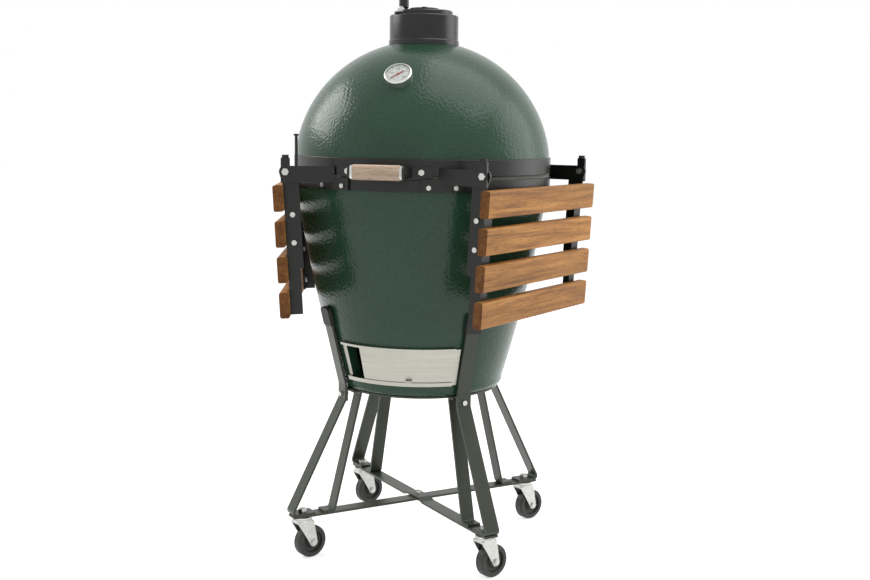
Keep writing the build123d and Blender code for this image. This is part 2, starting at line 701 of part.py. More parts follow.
def make_lid_springs():
    """Two coil springs under the spring shelf, round the rods."""
    coil_l = SPRING_L - 2 * SPRING_WIRE - 0.4
    path = Helix(pitch=coil_l / SPRING_TURNS, height=coil_l, radius=SPRING_R)
    wire = Plane(origin=path @ 0, z_dir=path % 0) * RegularPolygon(SPRING_WIRE, 6)
    coil = sweep(wire, path, is_frenet=True)
    low = shelf_low - SPRING_L + SPRING_WIRE + 0.2
    return Compound([Pos(side * SPRING_X, rod_y, low) * coil for side in (-1, 1)])


# ---- Stand ----

def bent_strip(points, radii, width, thickness):
    """A flat strip bent along a line of (radius, height) points."""
    path = FilletPolyline(*[(r, 0, z) for r, z in points], radius=radii)
    section = Plane(origin=path @ 0, x_dir=(0, 1, 0), z_dir=path % 0) * Rectangle(width, thickness)
    return sweep(section, path)


def radial_hole(r_low, r_high, z, radius):
    return Pos(r_low, 0, z) * Rot(0, 90, 0) * extrude(Circle(radius), r_high - r_low)


LEG_TURNS = (-135, -45, 45, 135)
tab_z = strap_top + STRAP_T / 2
leg_top_z = foot_z + LEG_TOP
lug_r = FOOT_R + LEG_GAP
leg_knee_r = lug_r + STRAP_T / 2
stem_circle = FOOT_CORNER_R - STEM_IN
ring_in, ring_out = FOOT_R - FOOT_IN - RING_LEDGE, FOOT_R - FOOT_IN + RING_LAP
ring_low = foot_z - RING_T
leg_top_r = belly_r(leg_top_z) + LEG_STANDOFF + STRAP_T / 2
leg_bolt_z = foot_z - LEG_BOLT_DROP
bolt_r = 3.0


def make_outer_leg():
    """Powder-coated flat bar: a tab on the strap, a raking leg, and an upright that hugs the ceramic."""
    leg = bent_strip(
        [(FOOT_CORNER_R - LEG_TAB, tab_z), (FOOT_CORNER_R, tab_z), (leg_knee_r, foot_z - KNEE_DROP),
         (leg_knee_r, foot_z + KNEE_RISE), (leg_top_r, leg_top_z)],
        [7, 14, 14], LEG_W, STRAP_T)
    leg -= Pos(stem_circle, 0, 0) * disc(CASTER_STEM_R, strap_z, 3 * STRAP_T)
    return leg - radial_hole(lug_r - RING_T, lug_r + 3 * STRAP_T, leg_bolt_z, bolt_r)


def make_inner_leg():
    """Narrower flat bar from the strap to the ring under the ceramic."""
    foot_r = FOOT_CORNER_R - INNER_FOOT_IN
    top_z = ring_low - STRAP_T / 2
    return bent_strip([(foot_r + 26, tab_z), (foot_r, tab_z), (ring_in + 2, top_z), (ring_out, top_z)],
                      [6, 6], INNER_LEG_W, STRAP_T)


def make_strap(over):
    """Cross strap between two opposite feet. The upper one is joggled over the lower one."""
    end = FOOT_CORNER_R - STRAP_T
    flat = STRAP_W * 0.8
    slope = flat + 18
    z = strap_z + STRAP_T / 2
    if over:
        points = [(-end, z), (-slope, z), (-flat, z + STRAP_T), (flat, z + STRAP_T), (slope, z), (end, z)]
        strap = bent_strip(points, [8, 8, 8, 8], STRAP_W, STRAP_T)
    else:
        strap = block((-end, end), (-STRAP_W / 2, STRAP_W / 2), (strap_z, strap_top))
    for side in (-1, 1):
        strap -= Pos(side * stem_circle, 0, 0) * disc(CASTER_STEM_R, strap_z - 1, 3 * STRAP_T)
    return strap - disc(bolt_r, strap_z - 1, 4 * STRAP_T)


def make_stand_ring():
    """Flat ring that the ceramic stands on, with a lug bent down behind each outer leg."""
    ring = tube(ring_out, ring_in, ring_low, RING_T)
    lug_y = (-LUG_W / 2, LUG_W / 2)
    lug = block((ring_out - 3, lug_r), lug_y, (ring_low, foot_z))
    lug += block((lug_r - RING_T, lug_r), lug_y, (foot_z - LUG_DROP, foot_z))
    lug -= radial_hole(lug_r - 2 * RING_T, lug_r + RING_T, leg_bolt_z, bolt_r)
    for turn in LEG_TURNS:
        ring += turned(lug, turn)
    return ring


def make_leg_cap():
    """Black plastic end cap with a pad that bears on the glaze."""
    rise = degrees(atan2(leg_top_r - leg_knee_r, leg_top_z - foot_z - KNEE_RISE))
    cap_l = 40
    cap = Pos(0, 0, 5 - cap_l / 2) * Box(STRAP_T + 4, LEG_W + 4, cap_l)
    pad = Box(2 * LEG_STANDOFF, LEG_W - 6, cap_l * 0.5)
    cap += Pos(-LEG_STANDOFF / 2 - STRAP_T / 2, 0, -cap_l * 0.35) * pad
    cap = fillet(cap.edges().filter_by(Axis.X).group_by(Axis.Z)[-1], 9)
    cap -= Pos(0, 0, -cap_l) * Box(STRAP_T, LEG_W, 2 * cap_l)
    cap = Pos(leg_top_r, 0, leg_top_z) * Rot(0, rise, 0) * cap
    return cap - spun(area(0, RIM_R, foot_z, leg_top_z - cap_l - 20) + base_profile())


def base_profile():
    """The outline that the legs' pads are shaped to, a hair outside the ceramic."""
    side = ThreePointArc(belly_low, belly_mid, belly_high)
    return Pos(MOVE_GAP / 2, 0) * make_face([
        side, Line(belly_high, (0, belly_high[1])), Line((0, belly_high[1]), (0, belly_low[1])),
        Line((0, belly_low[1]), belly_low)])


def make_stand_bolts():
    """Bolts and nuts that hold the legs to the ring's lugs, and the crossed straps to each other."""
    pieces = []
    grip = RING_T + STRAP_T
    for turn in LEG_TURNS:
        shank = Pos(lug_r + STRAP_T, 0, leg_bolt_z) * Rot(0, 90, 0) * bolt(bolt_r, grip + 6, 4.5, 10)
        nut = Pos(lug_r - RING_T - 5 - MOVE_GAP / 2, 0, leg_bolt_z) * Rot(0, 90, 0) * hex_prism(10, 5)
        pieces.append(turned(shank + nut, turn))
    centre = Pos(0, 0, strap_top + STRAP_T) * bolt(bolt_r, 2 * STRAP_T + 7, 4.5, 10)
    pieces.append(centre + Pos(0, 0, strap_z - 5) * hex_prism(10, 5))
    return Compound(pieces)


# ---- Casters ----

race_top = strap_z - 4.5
crown_top = race_top - MOVE_GAP
crown_low = crown_top - 8.0
fork_y = WHEEL_W / 2 + 1.5


def make_caster_stem():
    """Zinc-plated race plate and threaded stem, with a nut on top of the leg and a rivet head below."""
    stem = disc(20, race_top, strap_z - race_top)
    stem += disc(CASTER_STEM_R, crown_low - 3, strap_top + STRAP_T + 11 - crown_low)
    stem += disc(CASTER_STEM_R + 3.5, crown_low - 4.5, 4.1)
    return stem + Pos(0, 0, strap_top + STRAP_T) * hex_prism(17, 7)


def make_caster_fork():
    """Pressed fork: a race cup on a crown with two tapered cheeks, and the axle bolt through them."""
    cheek = hull(Pos(0, crown_low + 2) * Rectangle(38, 4), Pos(TRAIL, WHEEL_R) * Circle(9))
    fork = disc(20.5, crown_low + 3, crown_top - crown_low - 3)
    fork += block((-19, 19), (-fork_y - FORK_T, fork_y + FORK_T), (crown_low, crown_low + 4))
    for side in (-1, 1):
        low, high = sorted((side * fork_y, side * (fork_y + FORK_T)))
        fork += plate(Plane.XZ * cheek, low, high)
    fork -= disc(CASTER_STEM_R + RUN_GAP, crown_low - 1, 20)
    fork -= Pos(TRAIL, 0, WHEEL_R) * Rot(90, 0, 0) * disc(AXLE_R, -WHEEL_W, 2 * WHEEL_W)
    end = fork_y + FORK_T
    axle = Pos(TRAIL, end, WHEEL_R) * Rot(-90, 0, 0) * bolt(AXLE_R, 2 * end + 4, 4, 12)
    axle += Pos(TRAIL, -end, WHEEL_R) * Rot(90, 0, 0) * hex_prism(12, 3.5)
    return Compound([fork, axle])


def make_caster_wheel():
    """Moulded wheel with a soft tread, a thin web and a long hub."""
    half = WHEEL_W / 2
    section = Polygon((WHEEL_R, -half + 4), (WHEEL_R, half - 4), (WHEEL_R - 3, half), (WHEEL_R - 11, half),
                      (WHEEL_R - 13, half - 5), (15, half - 5), (12, half), (AXLE_R + RUN_GAP, half),
                      (AXLE_R + RUN_GAP, -half), (12, -half), (15, -half + 5), (WHEEL_R - 13, -half + 5),
                      (WHEEL_R - 11, -half), (WHEEL_R - 3, -half), align=None)
    return Pos(TRAIL, 0, WHEEL_R) * Rot(90, 0, 0) * spun(section)


def at_foot(shape, turn):
    x, y = stem_circle * cos(radians(turn)), stem_circle * sin(radians(turn))
    return Pos(x, y, 0) * Rot(0, 0, CASTER_TURN) * shape


# ---- Side shelves, built facing +X and then turned ----

fold_z = parting_z + FOLD_UP
fold_n = band_r + FOLD_OUT
bracket_turn = 90 + SHELF_TURN - handle_foot_turn - HANDLE_FOOT_HALF - BRACKET_CLEAR
bracket_in = (band_r + BRACKET_PAD) * sin(radians(bracket_turn)) - BRACKET_T / 2
arm_d = bracket_in - MOVE_GAP
shelf_l = 2 * (arm_d + SLAT_END)
rail_l = SLATS * SLAT_H + (SLATS - 1) * SLAT_GAP - 2 * RAIL_IN


def on_shelf(shape):
    """Hang a shape that was built round the fold pivot as its origin."""
    return Pos(fold_n, 0, fold_z) * Rot(0, HANG_TILT, 0) * shape


def make_slat(index):
    """Oiled hardwood slat with rounded edges."""
    z = -FIRST_SLAT - index * (SLAT_H + SLAT_GAP) - SLAT_H / 2
    slat = Pos(FACE_OUT - SLAT_T / 2, 0, z) * Box(SLAT_T, shelf_l, SLAT_H)
    slat = fillet(slat.edges().filter_by(Axis.Y), 4)
    return on_shelf(slat)


def make_shelf_arms():
    """Two hinge plates, each bolted to an angle rail that carries the slats."""
    back = FACE_OUT - SLAT_T
    arms = []
    for side in (-1, 1):
        shoulder = -FIRST_SLAT + 6
        outline = hull(Circle(13), area(back - ARM_W, back, shoulder - 8, shoulder))
        outline += area(back - ARM_W, back, -ARM_L, shoulder - 4)
        outline -= Circle(FOLD_R + RUN_GAP)
        low, high = sorted((side * (arm_d - ARM_T), side * arm_d))
        arms.append(plate(Plane.XZ * outline, low, high))
        rail_high = -FIRST_SLAT - RAIL_IN
        flange = sorted((side * (arm_d - ARM_T - RAIL_W), side * (arm_d - ARM_T)))
        web = sorted((side * (arm_d - ARM_T - RAIL_T), side * (arm_d - ARM_T)))
        rail = block((back - RAIL_T, back), flange, (rail_high - rail_l, rail_high))
        rail += block((back - RAIL_W, back), web, (rail_high - rail_l, rail_high))
        arms.append(rail)
    return on_shelf(Compound(arms))


def make_shelf_bolts():
    """Bright bolts through the hinge plates, and carriage bolts behind the slats."""
    back = FACE_OUT - SLAT_T
    pieces = []
    for side in (-1, 1):
        for k in range(2):
            z = -ARM_L + ARM_BOLT_END + k * ARM_BOLT_PITCH
            head = Pos(back - ARM_W / 2, side * arm_d, z) * Rot(-90 * side, 0, 0) * bolt(bolt_r, 0, 4, 10)
            pieces.append(head)
        for index in range(SLATS):
            z = -FIRST_SLAT - index * (SLAT_H + SLAT_GAP) - SLAT_H / 2
            y = side * (arm_d - ARM_T - RAIL_W * 0.6)
            pieces.append(Pos(back - RAIL_T, y, z) * Rot(0, -90, 0) * hex_prism(10, 4))
    return on_shelf(Compound(pieces))


def make_shelf_bracket(side):
    """Flat bracket on a pad that fits the lower band, with an upright post for the fold pivot."""
    low, high = sorted((side * bracket_in, side * (bracket_in + BRACKET_T)))
    post_low = fold_z - POST_DROP
    outline = area(0, fold_n + POST_W / 2, fold_z - BRACKET_DOWN, fold_z + BRACKET_UP)
    outline += area(fold_n - POST_W / 2, fold_n + POST_W / 2, post_low, post_low + POST_H)
    bracket = plate(Plane.XZ * outline, low, high) - disc(band_r + BRACKET_PAD - 1, foot_z, 2 * BASE_H)
    pad = spun(area(band_r, band_r + BRACKET_PAD, rim_z - LOWER_BAND_H + 0.5, rim_z + 0.5), 17)
    bracket += turned(pad, side * bracket_turn)
    bracket += Pos(fold_n, (low + high) / 2, post_low + POST_H) * disc(7, 0, 6)
    return bracket - Pos(fold_n, 0, fold_z) * Rot(90, 0, 0) * disc(FOLD_R, -shelf_l, 2 * shelf_l)


def make_tool_pin():
    """Thin upright pin with a small head, on the left shelf's front bracket."""
    top = fold_z + BRACKET_UP + TOOL_PIN_H
    pin = disc(3, fold_z + BRACKET_UP, TOOL_PIN_H) + disc(5, top, 4)
    return Pos(fold_n - TOOL_PIN_IN, -bracket_in - BRACKET_T / 2, 0) * pin


def make_fold_bolts():
    """Pivot bolts of both shelf arms, with their heads outside the brackets."""
    pieces = []
    inner = arm_d - ARM_T
    outer = bracket_in + BRACKET_T
    for side in (-1, 1):
        shank = bolt(FOLD_R, outer - inner + 6, 4.5, 13)
        shank = Pos(fold_n, side * outer, fold_z) * Rot(-90 * side, 0, 0) * shank
        nut = Pos(fold_n, side * (inner - 0.5), fold_z) * Rot(90 * side, 0, 0) * hex_prism(12, 5)
        pieces.append(shank + nut)
    return Compound(pieces)


def make_bracket_bolts():
    """Bolts of both shelf brackets' pads."""
    pieces = []
    for side in (-1, 1):
        for lean in (-5.5, 5.5):
            head = Pos(band_r + BRACKET_PAD, 0, rim_z - 16) * Rot(0, 90, 0) * hex_prism(9, 3.5)
            pieces.append(turned(head, side * bracket_turn + lean))
    return Compound(pieces)


def right(shape):
    return turned(shape, SHELF_TURN)


def left(shape):
    return mirror(right(shape), Plane.YZ)


# ---- Everything, by node ----

def build():
    nodes = {}
    base = make_base_shell()
    dome = make_dome_shell()
    nodes["base_shell"] = base
    nodes["fire_box"] = make_fire_box()
    nodes["fire_grate"] = make_fire_grate()
    nodes["fire_ring"] = make_fire_ring()
    nodes["cooking_grid"] = make_cooking_grid()
    nodes["cooking_grid_bars"] = make_grid_bars()
    nodes["base_gasket"] = make_gasket(rim_z)
    nodes["lower_band"] = make_band(rim_z - LOWER_BAND_H, LOWER_BAND_H)
    nodes["draft_frame"] = make_draft_frame()
    nodes["draft_door"] = make_draft_door()
    nodes["draft_screen"] = make_draft_screen()
    nodes["hinge_bracket"] = make_hinge_bracket()
    nodes["hinge_pin"] = make_hinge_pin()
    nodes["spring_rods"] = make_spring_rods()
    nodes["lid_springs"] = make_lid_springs()

    nodes["dome_shell"] = dome
    nodes["dome_gasket"] = make_gasket(rim_z + GASKET_T + MOVE_GAP)
    nodes["upper_band"] = make_band(dome_z, UPPER_BAND_H)
    nodes["hinge_arms"] = make_hinge_arms()
    nodes["handle_brackets"] = make_handle_brackets()
    nodes["handle_grip"] = make_handle_grip()
    nodes["dome_fasteners"] = make_dome_fasteners()
    nodes["thermometer_case"] = make_thermometer_case(dome)
    nodes["thermometer_dial"] = make_thermometer_dial()
    nodes["thermometer_pointer"] = make_thermometer_pointer()
    nodes["thermometer_lens"] = make_thermometer_lens()
    nodes["cap_sleeve"] = make_cap_sleeve()
    nodes["cap_pivot_bolt"] = make_cap_pivot_bolt()
    nodes["slide_lid"] = make_slide_lid()
    nodes["lid_knob"] = make_lid_knob()
    nodes["daisy_wheel"] = make_daisy_wheel()

    outer, inner, stem = make_outer_leg(), make_inner_leg(), make_caster_stem()
    fork, wheel, cap = make_caster_fork(), make_caster_wheel(), make_leg_cap()
    nodes["legs_outer"] = Compound([turned(outer, turn) for turn in LEG_TURNS])
    nodes["legs_inner"] = Compound([turned(inner, turn) for turn in LEG_TURNS])
    nodes["leg_caps"] = Compound([turned(cap, turn) for turn in LEG_TURNS])
    nodes["caster_stems"] = Compound([turned(Pos(stem_circle, 0, 0) * stem, turn) for turn in LEG_TURNS])
    nodes["cross_straps"] = Compound([turned(make_strap(over=False), 45), turned(make_strap(over=True), 135)])
    nodes["stand_ring"] = make_stand_ring()
    nodes["stand_bolts"] = make_stand_bolts()
    for name, turn in zip(("front_left", "front_right", "rear_right", "rear_left"), LEG_TURNS):
        nodes["caster_fork_" + name] = at_foot(fork, turn)
        nodes["caster_wheel_" + name] = at_foot(wheel, turn)

    slats = [make_slat(index) for index in range(SLATS)]
    arms, shelf_bolts = make_shelf_arms(), make_shelf_bolts()
    brackets = [make_shelf_bracket(side) for side in (-1, 1)]
    fold_bolts, bracket_bolts = make_fold_bolts(), make_bracket_bolts()
    for name, place in (("left", left), ("right", right)):
        for index, slat in enumerate(slats):
            nodes[f"slat_{name}_{index + 1}"] = place(slat)
        nodes["shelf_arms_" + name] = place(arms)
        nodes["shelf_bolts_" + name] = place(shelf_bolts)
    nodes["shelf_brackets"] = Compound(
        [place(bracket) for place in (left, right) for bracket in brackets] + [left(make_tool_pin())])
    nodes["base_fasteners"] = Compound(
        [place(group) for place in (left, right) for group in (fold_bolts, bracket_bolts)])
    return nodes


def main():
    os.makedirs("parts", exist_ok=True)
    for name, shape in build().items():
        solids = shape.solids()
        export_step(solids[0] if len(solids) == 1 else Compound(list(solids)), f"parts/{name}.step")
    print("nodes written:", len(os.listdir("parts")))


main()
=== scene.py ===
from math import asin, atan2, cos, degrees, pi, radians, sin, sqrt

import bmesh
import bpy
from mathutils import Matrix, Vector


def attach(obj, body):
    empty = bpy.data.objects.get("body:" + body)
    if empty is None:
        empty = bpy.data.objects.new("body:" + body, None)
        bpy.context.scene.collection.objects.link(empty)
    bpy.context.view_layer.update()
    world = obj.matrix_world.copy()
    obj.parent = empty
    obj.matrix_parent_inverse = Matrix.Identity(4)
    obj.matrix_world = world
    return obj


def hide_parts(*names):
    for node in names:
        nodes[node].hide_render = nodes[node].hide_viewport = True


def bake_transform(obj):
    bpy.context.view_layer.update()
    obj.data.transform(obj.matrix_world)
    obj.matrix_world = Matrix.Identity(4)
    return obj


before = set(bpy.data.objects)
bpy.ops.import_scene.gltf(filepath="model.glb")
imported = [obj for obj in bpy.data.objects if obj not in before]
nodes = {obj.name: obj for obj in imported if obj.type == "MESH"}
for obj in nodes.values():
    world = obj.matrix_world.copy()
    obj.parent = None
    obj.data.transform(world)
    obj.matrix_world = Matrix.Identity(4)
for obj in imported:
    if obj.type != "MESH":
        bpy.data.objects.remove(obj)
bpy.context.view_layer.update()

# ---- Camera ----
# A mid-length lens a little above the rim, looking slightly down on the grill from just
# right of its front.
lens = bpy.data.cameras.new("camera")
lens.lens = 50.685
lens.sensor_width = 36.0
lens.clip_end = 60.0
camera = bpy.data.objects.new("camera", lens)
camera.location = (0.74145, -2.58762, 0.93506)
camera.rotation_euler = (radians(82.256), radians(-0.758), radians(15.430))
bpy.context.scene.collection.objects.link(camera)
bpy.context.scene.camera = camera
bpy.context.scene.view_settings.view_transform = "Standard"

# ---- Studio ----
# White floor and white surroundings, a large soft box on the right, one high on the left
# and a wide one overhead.
world = bpy.data.worlds.new("studio_world")
bpy.context.scene.world = world
world.use_nodes = True
world_tree = world.node_tree
world_tree.nodes.clear()
world_out = world_tree.nodes.new("ShaderNodeOutputWorld")
room_light = world_tree.nodes.new("ShaderNodeBackground")
room_light.inputs["Color"].default_value = (1.0, 1.0, 1.0, 1.0)
room_light.inputs["Strength"].default_value = 0.55
seen_white = world_tree.nodes.new("ShaderNodeBackground")
seen_white.inputs["Color"].default_value = (1.0, 1.0, 1.0, 1.0)
seen_white.inputs["Strength"].default_value = 1.0


def seen_rays(tree):
    """1 for a ray that shows the surroundings: from the camera, or by way of gloss or glass."""
    rays = tree.nodes.new("ShaderNodeLightPath")
    shiny = tree.nodes.new("ShaderNodeMath")
    shiny.operation = "MAXIMUM"
    tree.links.new(rays.outputs["Is Glossy Ray"], shiny.inputs[0])
    tree.links.new(rays.outputs["Is Transmission Ray"], shiny.inputs[1])
    seen = tree.nodes.new("ShaderNodeMath")
    seen.operation = "MAXIMUM"
    tree.links.new(rays.outputs["Is Camera Ray"], seen.inputs[0])
    tree.links.new(shiny.outputs["Value"], seen.inputs[1])
    return seen.outputs["Value"]


world_mix = world_tree.nodes.new("ShaderNodeMixShader")
world_tree.links.new(seen_rays(world_tree), world_mix.inputs["Fac"])
world_tree.links.new(room_light.outputs["Background"], world_mix.inputs[1])
world_tree.links.new(seen_white.outputs["Background"], world_mix.inputs[2])
world_tree.links.new(world_mix.outputs["Shader"], world_out.inputs["Surface"])


def soft_box(name, place, aim, width, height, power):
    """A rectangular lamp at place that points at aim."""
    lamp = bpy.data.lights.new(name, "AREA")
    lamp.shape = "RECTANGLE"
    lamp.size = width
    lamp.size_y = height
    lamp.energy = power
    holder = bpy.data.objects.new(name, lamp)
    holder.location = place
    holder.rotation_euler = (Vector(aim) - Vector(place)).to_track_quat("-Z", "Y").to_euler()
    holder.visible_camera = False
    bpy.context.scene.collection.objects.link(holder)


soft_box("soft_box_right", (2.4, 1.1, 1.6), (0, 0, 0.9), 1.8, 2.2, 25)
soft_box("soft_box_left", (-2.3, 0.15, 2.1), (0, 0, 0.95), 1.6, 1.2, 30)
soft_box("soft_box_top", (1.2, 0.2, 3.4), (0, 0, 0.6), 2.6, 2.6, 45)

floor_mesh = bpy.data.meshes.new("floor")
bm = bmesh.new()
bmesh.ops.create_grid(bm, x_segments=1, y_segments=1, size=12)
bm.to_mesh(floor_mesh)
bm.free()
floor = bpy.data.objects.new("floor", floor_mesh)
bpy.context.scene.collection.objects.link(floor)
floor_finish = bpy.data.materials.new("studio_floor")
floor_finish.use_nodes = True
floor_tree = floor_finish.node_tree
floor_tree.nodes.clear()
floor_out = floor_tree.nodes.new("ShaderNodeOutputMaterial")
floor_paint = floor_tree.nodes.new("ShaderNodeBsdfDiffuse")
floor_paint.inputs["Color"].default_value = (0.82, 0.82, 0.82, 1.0)
floor_white = floor_tree.nodes.new("ShaderNodeEmission")
floor_white.inputs["Strength"].default_value = 0.62
floor_seen = floor_tree.nodes.new("ShaderNodeAddShader")
floor_mix = floor_tree.nodes.new("ShaderNodeMixShader")
floor_tree.links.new(floor_paint.outputs["BSDF"], floor_seen.inputs[0])
floor_tree.links.new(floor_white.outputs["Emission"], floor_seen.inputs[1])
floor_tree.links.new(seen_rays(floor_tree), floor_mix.inputs["Fac"])
floor_tree.links.new(floor_paint.outputs["BSDF"], floor_mix.inputs[1])
floor_tree.links.new(floor_seen.outputs["Shader"], floor_mix.inputs[2])
floor_tree.links.new(floor_mix.outputs["Shader"], floor_out.inputs["Surface"])
floor_mesh.materials.append(floor_finish)

# ---- Ceramic base ----
# The lower half of the egg: heavy fire-clay stoneware, slip cast, with a rounded foot and a
# straight rim, glazed dark green all over with a shallow dimpled surface. Its draft opening
# is cut through the front wall.
FOOT_Z, FOOT_R, RIM_Z, RIM_R, WALL = 0.365, 0.183, 0.825, 0.275, 0.022
FOOT_ROUND, FOOT_SWEEP, FOOT_H, FLOOR_T, FLOOR_HOLE_R = 0.017, radians(78), 0.020, 0.025, 0.012
RIM_LAND, RIM_EASE = 0.025, 0.0015
BELLY_CENTRE, BELLY_RADIUS = (-2.994089, 0, 1.307016), 3.308173
BELLY_SWEEP, INSIDE_SWEEP = radians(7.32), radians(-7.0)
DRAFT_LOW, DRAFT_HIGH, DRAFT_HALF, DRAFT_TURN = 0.397, 0.467, radians(30), radians(-3)


def sweep_point(bm, start, centre, angle, steps):
    """Swing a profile's point about centre in the X-Z plane, and return the arc's last point."""
    swing = bmesh.ops.spin(bm, geom=[start], cent=centre, axis=(0, -1, 0), angle=angle, steps=steps)
    return swing["geom_last"][0]


def line_to(bm, start, x, z):
    """Carry a profile on to the next point."""
    point = bm.verts.new((x, 0, z))
    bm.edges.new((start, point))
    return point


def turn_profile(bm, steps):
    """Turn a closed profile through a whole circle about the vertical axis."""
    bmesh.ops.remove_doubles(bm, verts=bm.verts[:], dist=1e-6)
    bmesh.ops.spin(bm, geom=bm.verts[:] + bm.edges[:], cent=(0, 0, 0), axis=(0, 0, 1), angle=2 * pi,
                   steps=steps, use_merge=True)
    bmesh.ops.remove_doubles(bm, verts=bm.verts[:], dist=1e-6)
    bmesh.ops.recalc_face_normals(bm, faces=bm.faces[:])


def make_piece(name, bm, finish, body=None, sharp=35):
    """Finish a mesh as a smooth piece, creased past sharp degrees, that rides on the body named."""
    mesh = bpy.data.meshes.new(name)
    for edge in bm.edges:
        edge.smooth = len(edge.link_faces) == 2 and edge.calc_face_angle(0) < radians(sharp)
    for face in bm.faces:
        face.smooth = True
    bm.to_mesh(mesh)
    bm.free()
    mesh.materials.append(finish)
    piece = bpy.data.objects.new(name, mesh)
    bpy.context.scene.collection.objects.link(piece)
    if body:
        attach(piece, body)
    return piece


class Finish:
    """A new material, with short ways to add nodes to it and to join them."""

    def __init__(self, name, group=False):
        if group:
            self.tree = bpy.data.node_groups.new(name, "ShaderNodeTree")
        else:
            self.material = bpy.data.materials.new(name)
            self.material.use_nodes = True
            self.tree = self.material.node_tree
            self.shader = self.tree.nodes["Principled BSDF"]

    def add(self, kind, inputs=None, **settings):
        """Add a node, set its settings, and set or link its inputs."""
        if isinstance(kind, bpy.types.NodeTree):
            made = self.tree.nodes.new("ShaderNodeGroup")
            made.node_tree = kind
        else:
            made = self.tree.nodes.new("ShaderNode" + kind)
        for key, value in settings.items():
            setattr(made, key, value)
        for key, value in (inputs or {}).items():
            self.put(value, made.inputs[key])
        return made

    def put(self, value, socket):
        if isinstance(value, bpy.types.NodeSocket):
            self.tree.links.new(value, socket)
        else:
            socket.default_value = value

    def shade(self, **sockets):
        """Set or link inputs of the shader. Underscores stand for spaces."""
        for key, value in sockets.items():
            self.put(value, self.shader.inputs[key.replace("_", " ")])

    def sockets(self, kind, **types):
        """Declare a group's inputs (kind INPUT) or outputs (kind OUTPUT), as name=(type, default)."""
        for key, (socket_type, default) in types.items():
            made = self.tree.interface.new_socket(key, in_out=kind, socket_type="NodeSocket" + socket_type)
            if default is not None:
                made.default_value = default
        return self.tree.nodes.new("NodeGroupInput" if kind == "INPUT" else "NodeGroupOutput")

    def ramp(self, factor, *stops):
        """A colour ramp from (position, colour) stops."""
        made = self.add("ValToRGB", {"Fac": factor})
        elements = made.color_ramp.elements
        while len(elements) < len(stops):
            elements.new(0.5)
        for element, (position, colour) in zip(elements, stops):
            element.position = position
            element.color = (*colour, 1.0) if len(colour) == 3 else colour
        return made.outputs["Color"]


def glaze_finish(name, light, dark):
    """Glossy glaze that pools dark in round dimples and breaks paler on the ridges between them."""
    glaze = Finish(name)
    place = glaze.add("TexCoord").outputs["Object"]
    wander = glaze.add("TexNoise", {"Vector": place, "Scale": 60.0, "Detail": 2.0})
    nudge = glaze.add("VectorMath", {0: wander.outputs["Color"], 1: (0.0035, 0.0035, 0.0035)},
                      operation="MULTIPLY")
    moved = glaze.add("VectorMath", {0: place, 1: nudge.outputs["Vector"]}, operation="ADD")
    cell = glaze.add("TexVoronoi", {"Vector": moved.outputs["Vector"], "Scale": 150.0, "Smoothness": 0.25},
                     feature="SMOOTH_F1")
    pit = glaze.add("MapRange", {"Value": cell.outputs["Distance"], "From Min": 0.12, "From Max": 0.62})
    cloud = glaze.add("TexNoise", {"Vector": place, "Scale": 7.0, "Detail": 4.0})
    speck = glaze.add("TexNoise", {"Vector": place, "Scale": 900.0, "Detail": 1.0})
    tone = glaze.add("Mix", {"Factor": pit.outputs["Result"]}, data_type="RGBA")
    tone.inputs["A"].default_value = (*dark, 1.0)
    tone.inputs["B"].default_value = (*light, 1.0)
    pooled = glaze.ramp(cloud.outputs["Fac"], (0.35, (0.82, 0.84, 0.82)), (0.65, (1.0, 1.0, 1.0)))
    body = glaze.add("Mix", {"Factor": 1.0, "A": tone.outputs["Result"], "B": pooled}, data_type="RGBA",
                     blend_type="MULTIPLY")
    wear = glaze.add("MapRange", {"Value": speck.outputs["Fac"], "To Min": 0.13, "To Max": 0.30})
    relief = glaze.add("Bump", {"Height": pit.outputs["Result"], "Strength": 0.5, "Distance": 0.0006})
    glaze.shade(Base_Color=body.outputs["Result"], Roughness=wear.outputs["Result"],
                Normal=relief.outputs["Normal"], Specular_IOR_Level=0.3)
    return glaze.material


green_glaze = glaze_finish("green_glaze", (0.027, 0.076, 0.045), (0.021, 0.063, 0.036))

bm = bmesh.new()
foot = bm.verts.new((FOOT_R - FOOT_ROUND, 0, FOOT_Z))
knuckle = sweep_point(bm, foot, (FOOT_R - FOOT_ROUND, 0, FOOT_Z + FOOT_ROUND), FOOT_SWEEP, 6)
belly = line_to(bm, knuckle, FOOT_R, FOOT_Z + FOOT_H)
top = sweep_point(bm, belly, BELLY_CENTRE, BELLY_SWEEP, 36)
rim = line_to(bm, top, RIM_R, RIM_Z - RIM_EASE)
rim = line_to(bm, rim, RIM_R - RIM_EASE, RIM_Z)
rim = line_to(bm, rim, RIM_R - WALL, RIM_Z)
rim = line_to(bm, rim, RIM_R - WALL, RIM_Z - RIM_LAND)
inside = sweep_point(bm, rim, (BELLY_CENTRE[0] - WALL, 0, BELLY_CENTRE[2]), INSIDE_SWEEP, 24)
inside = line_to(bm, inside, FOOT_R - WALL, FOOT_Z + FLOOR_T)
inside = line_to(bm, inside, FLOOR_HOLE_R, FOOT_Z + FLOOR_T)
inside = line_to(bm, inside, FLOOR_HOLE_R, FOOT_Z)
bm.edges.new((inside, foot))
turn_profile(bm, 360)
for height in (DRAFT_LOW, DRAFT_HIGH):
    bmesh.ops.bisect_plane(bm, geom=bm.verts[:] + bm.edges[:] + bm.faces[:], plane_co=(0, 0, height),
                           plane_no=(0, 0, 1), dist=1e-6)
cut = []
for face in bm.faces:
    middle = face.calc_center_median()
    in_front = middle.y < 0 and abs(atan2(middle.x, -middle.y) - DRAFT_TURN) < DRAFT_HALF
    if in_front and DRAFT_LOW < middle.z < DRAFT_HIGH:
        cut.append(face)
bmesh.ops.delete(bm, geom=cut, context="FACES")
bmesh.ops.bridge_loops(bm, edges=[edge for edge in bm.edges if edge.is_boundary])
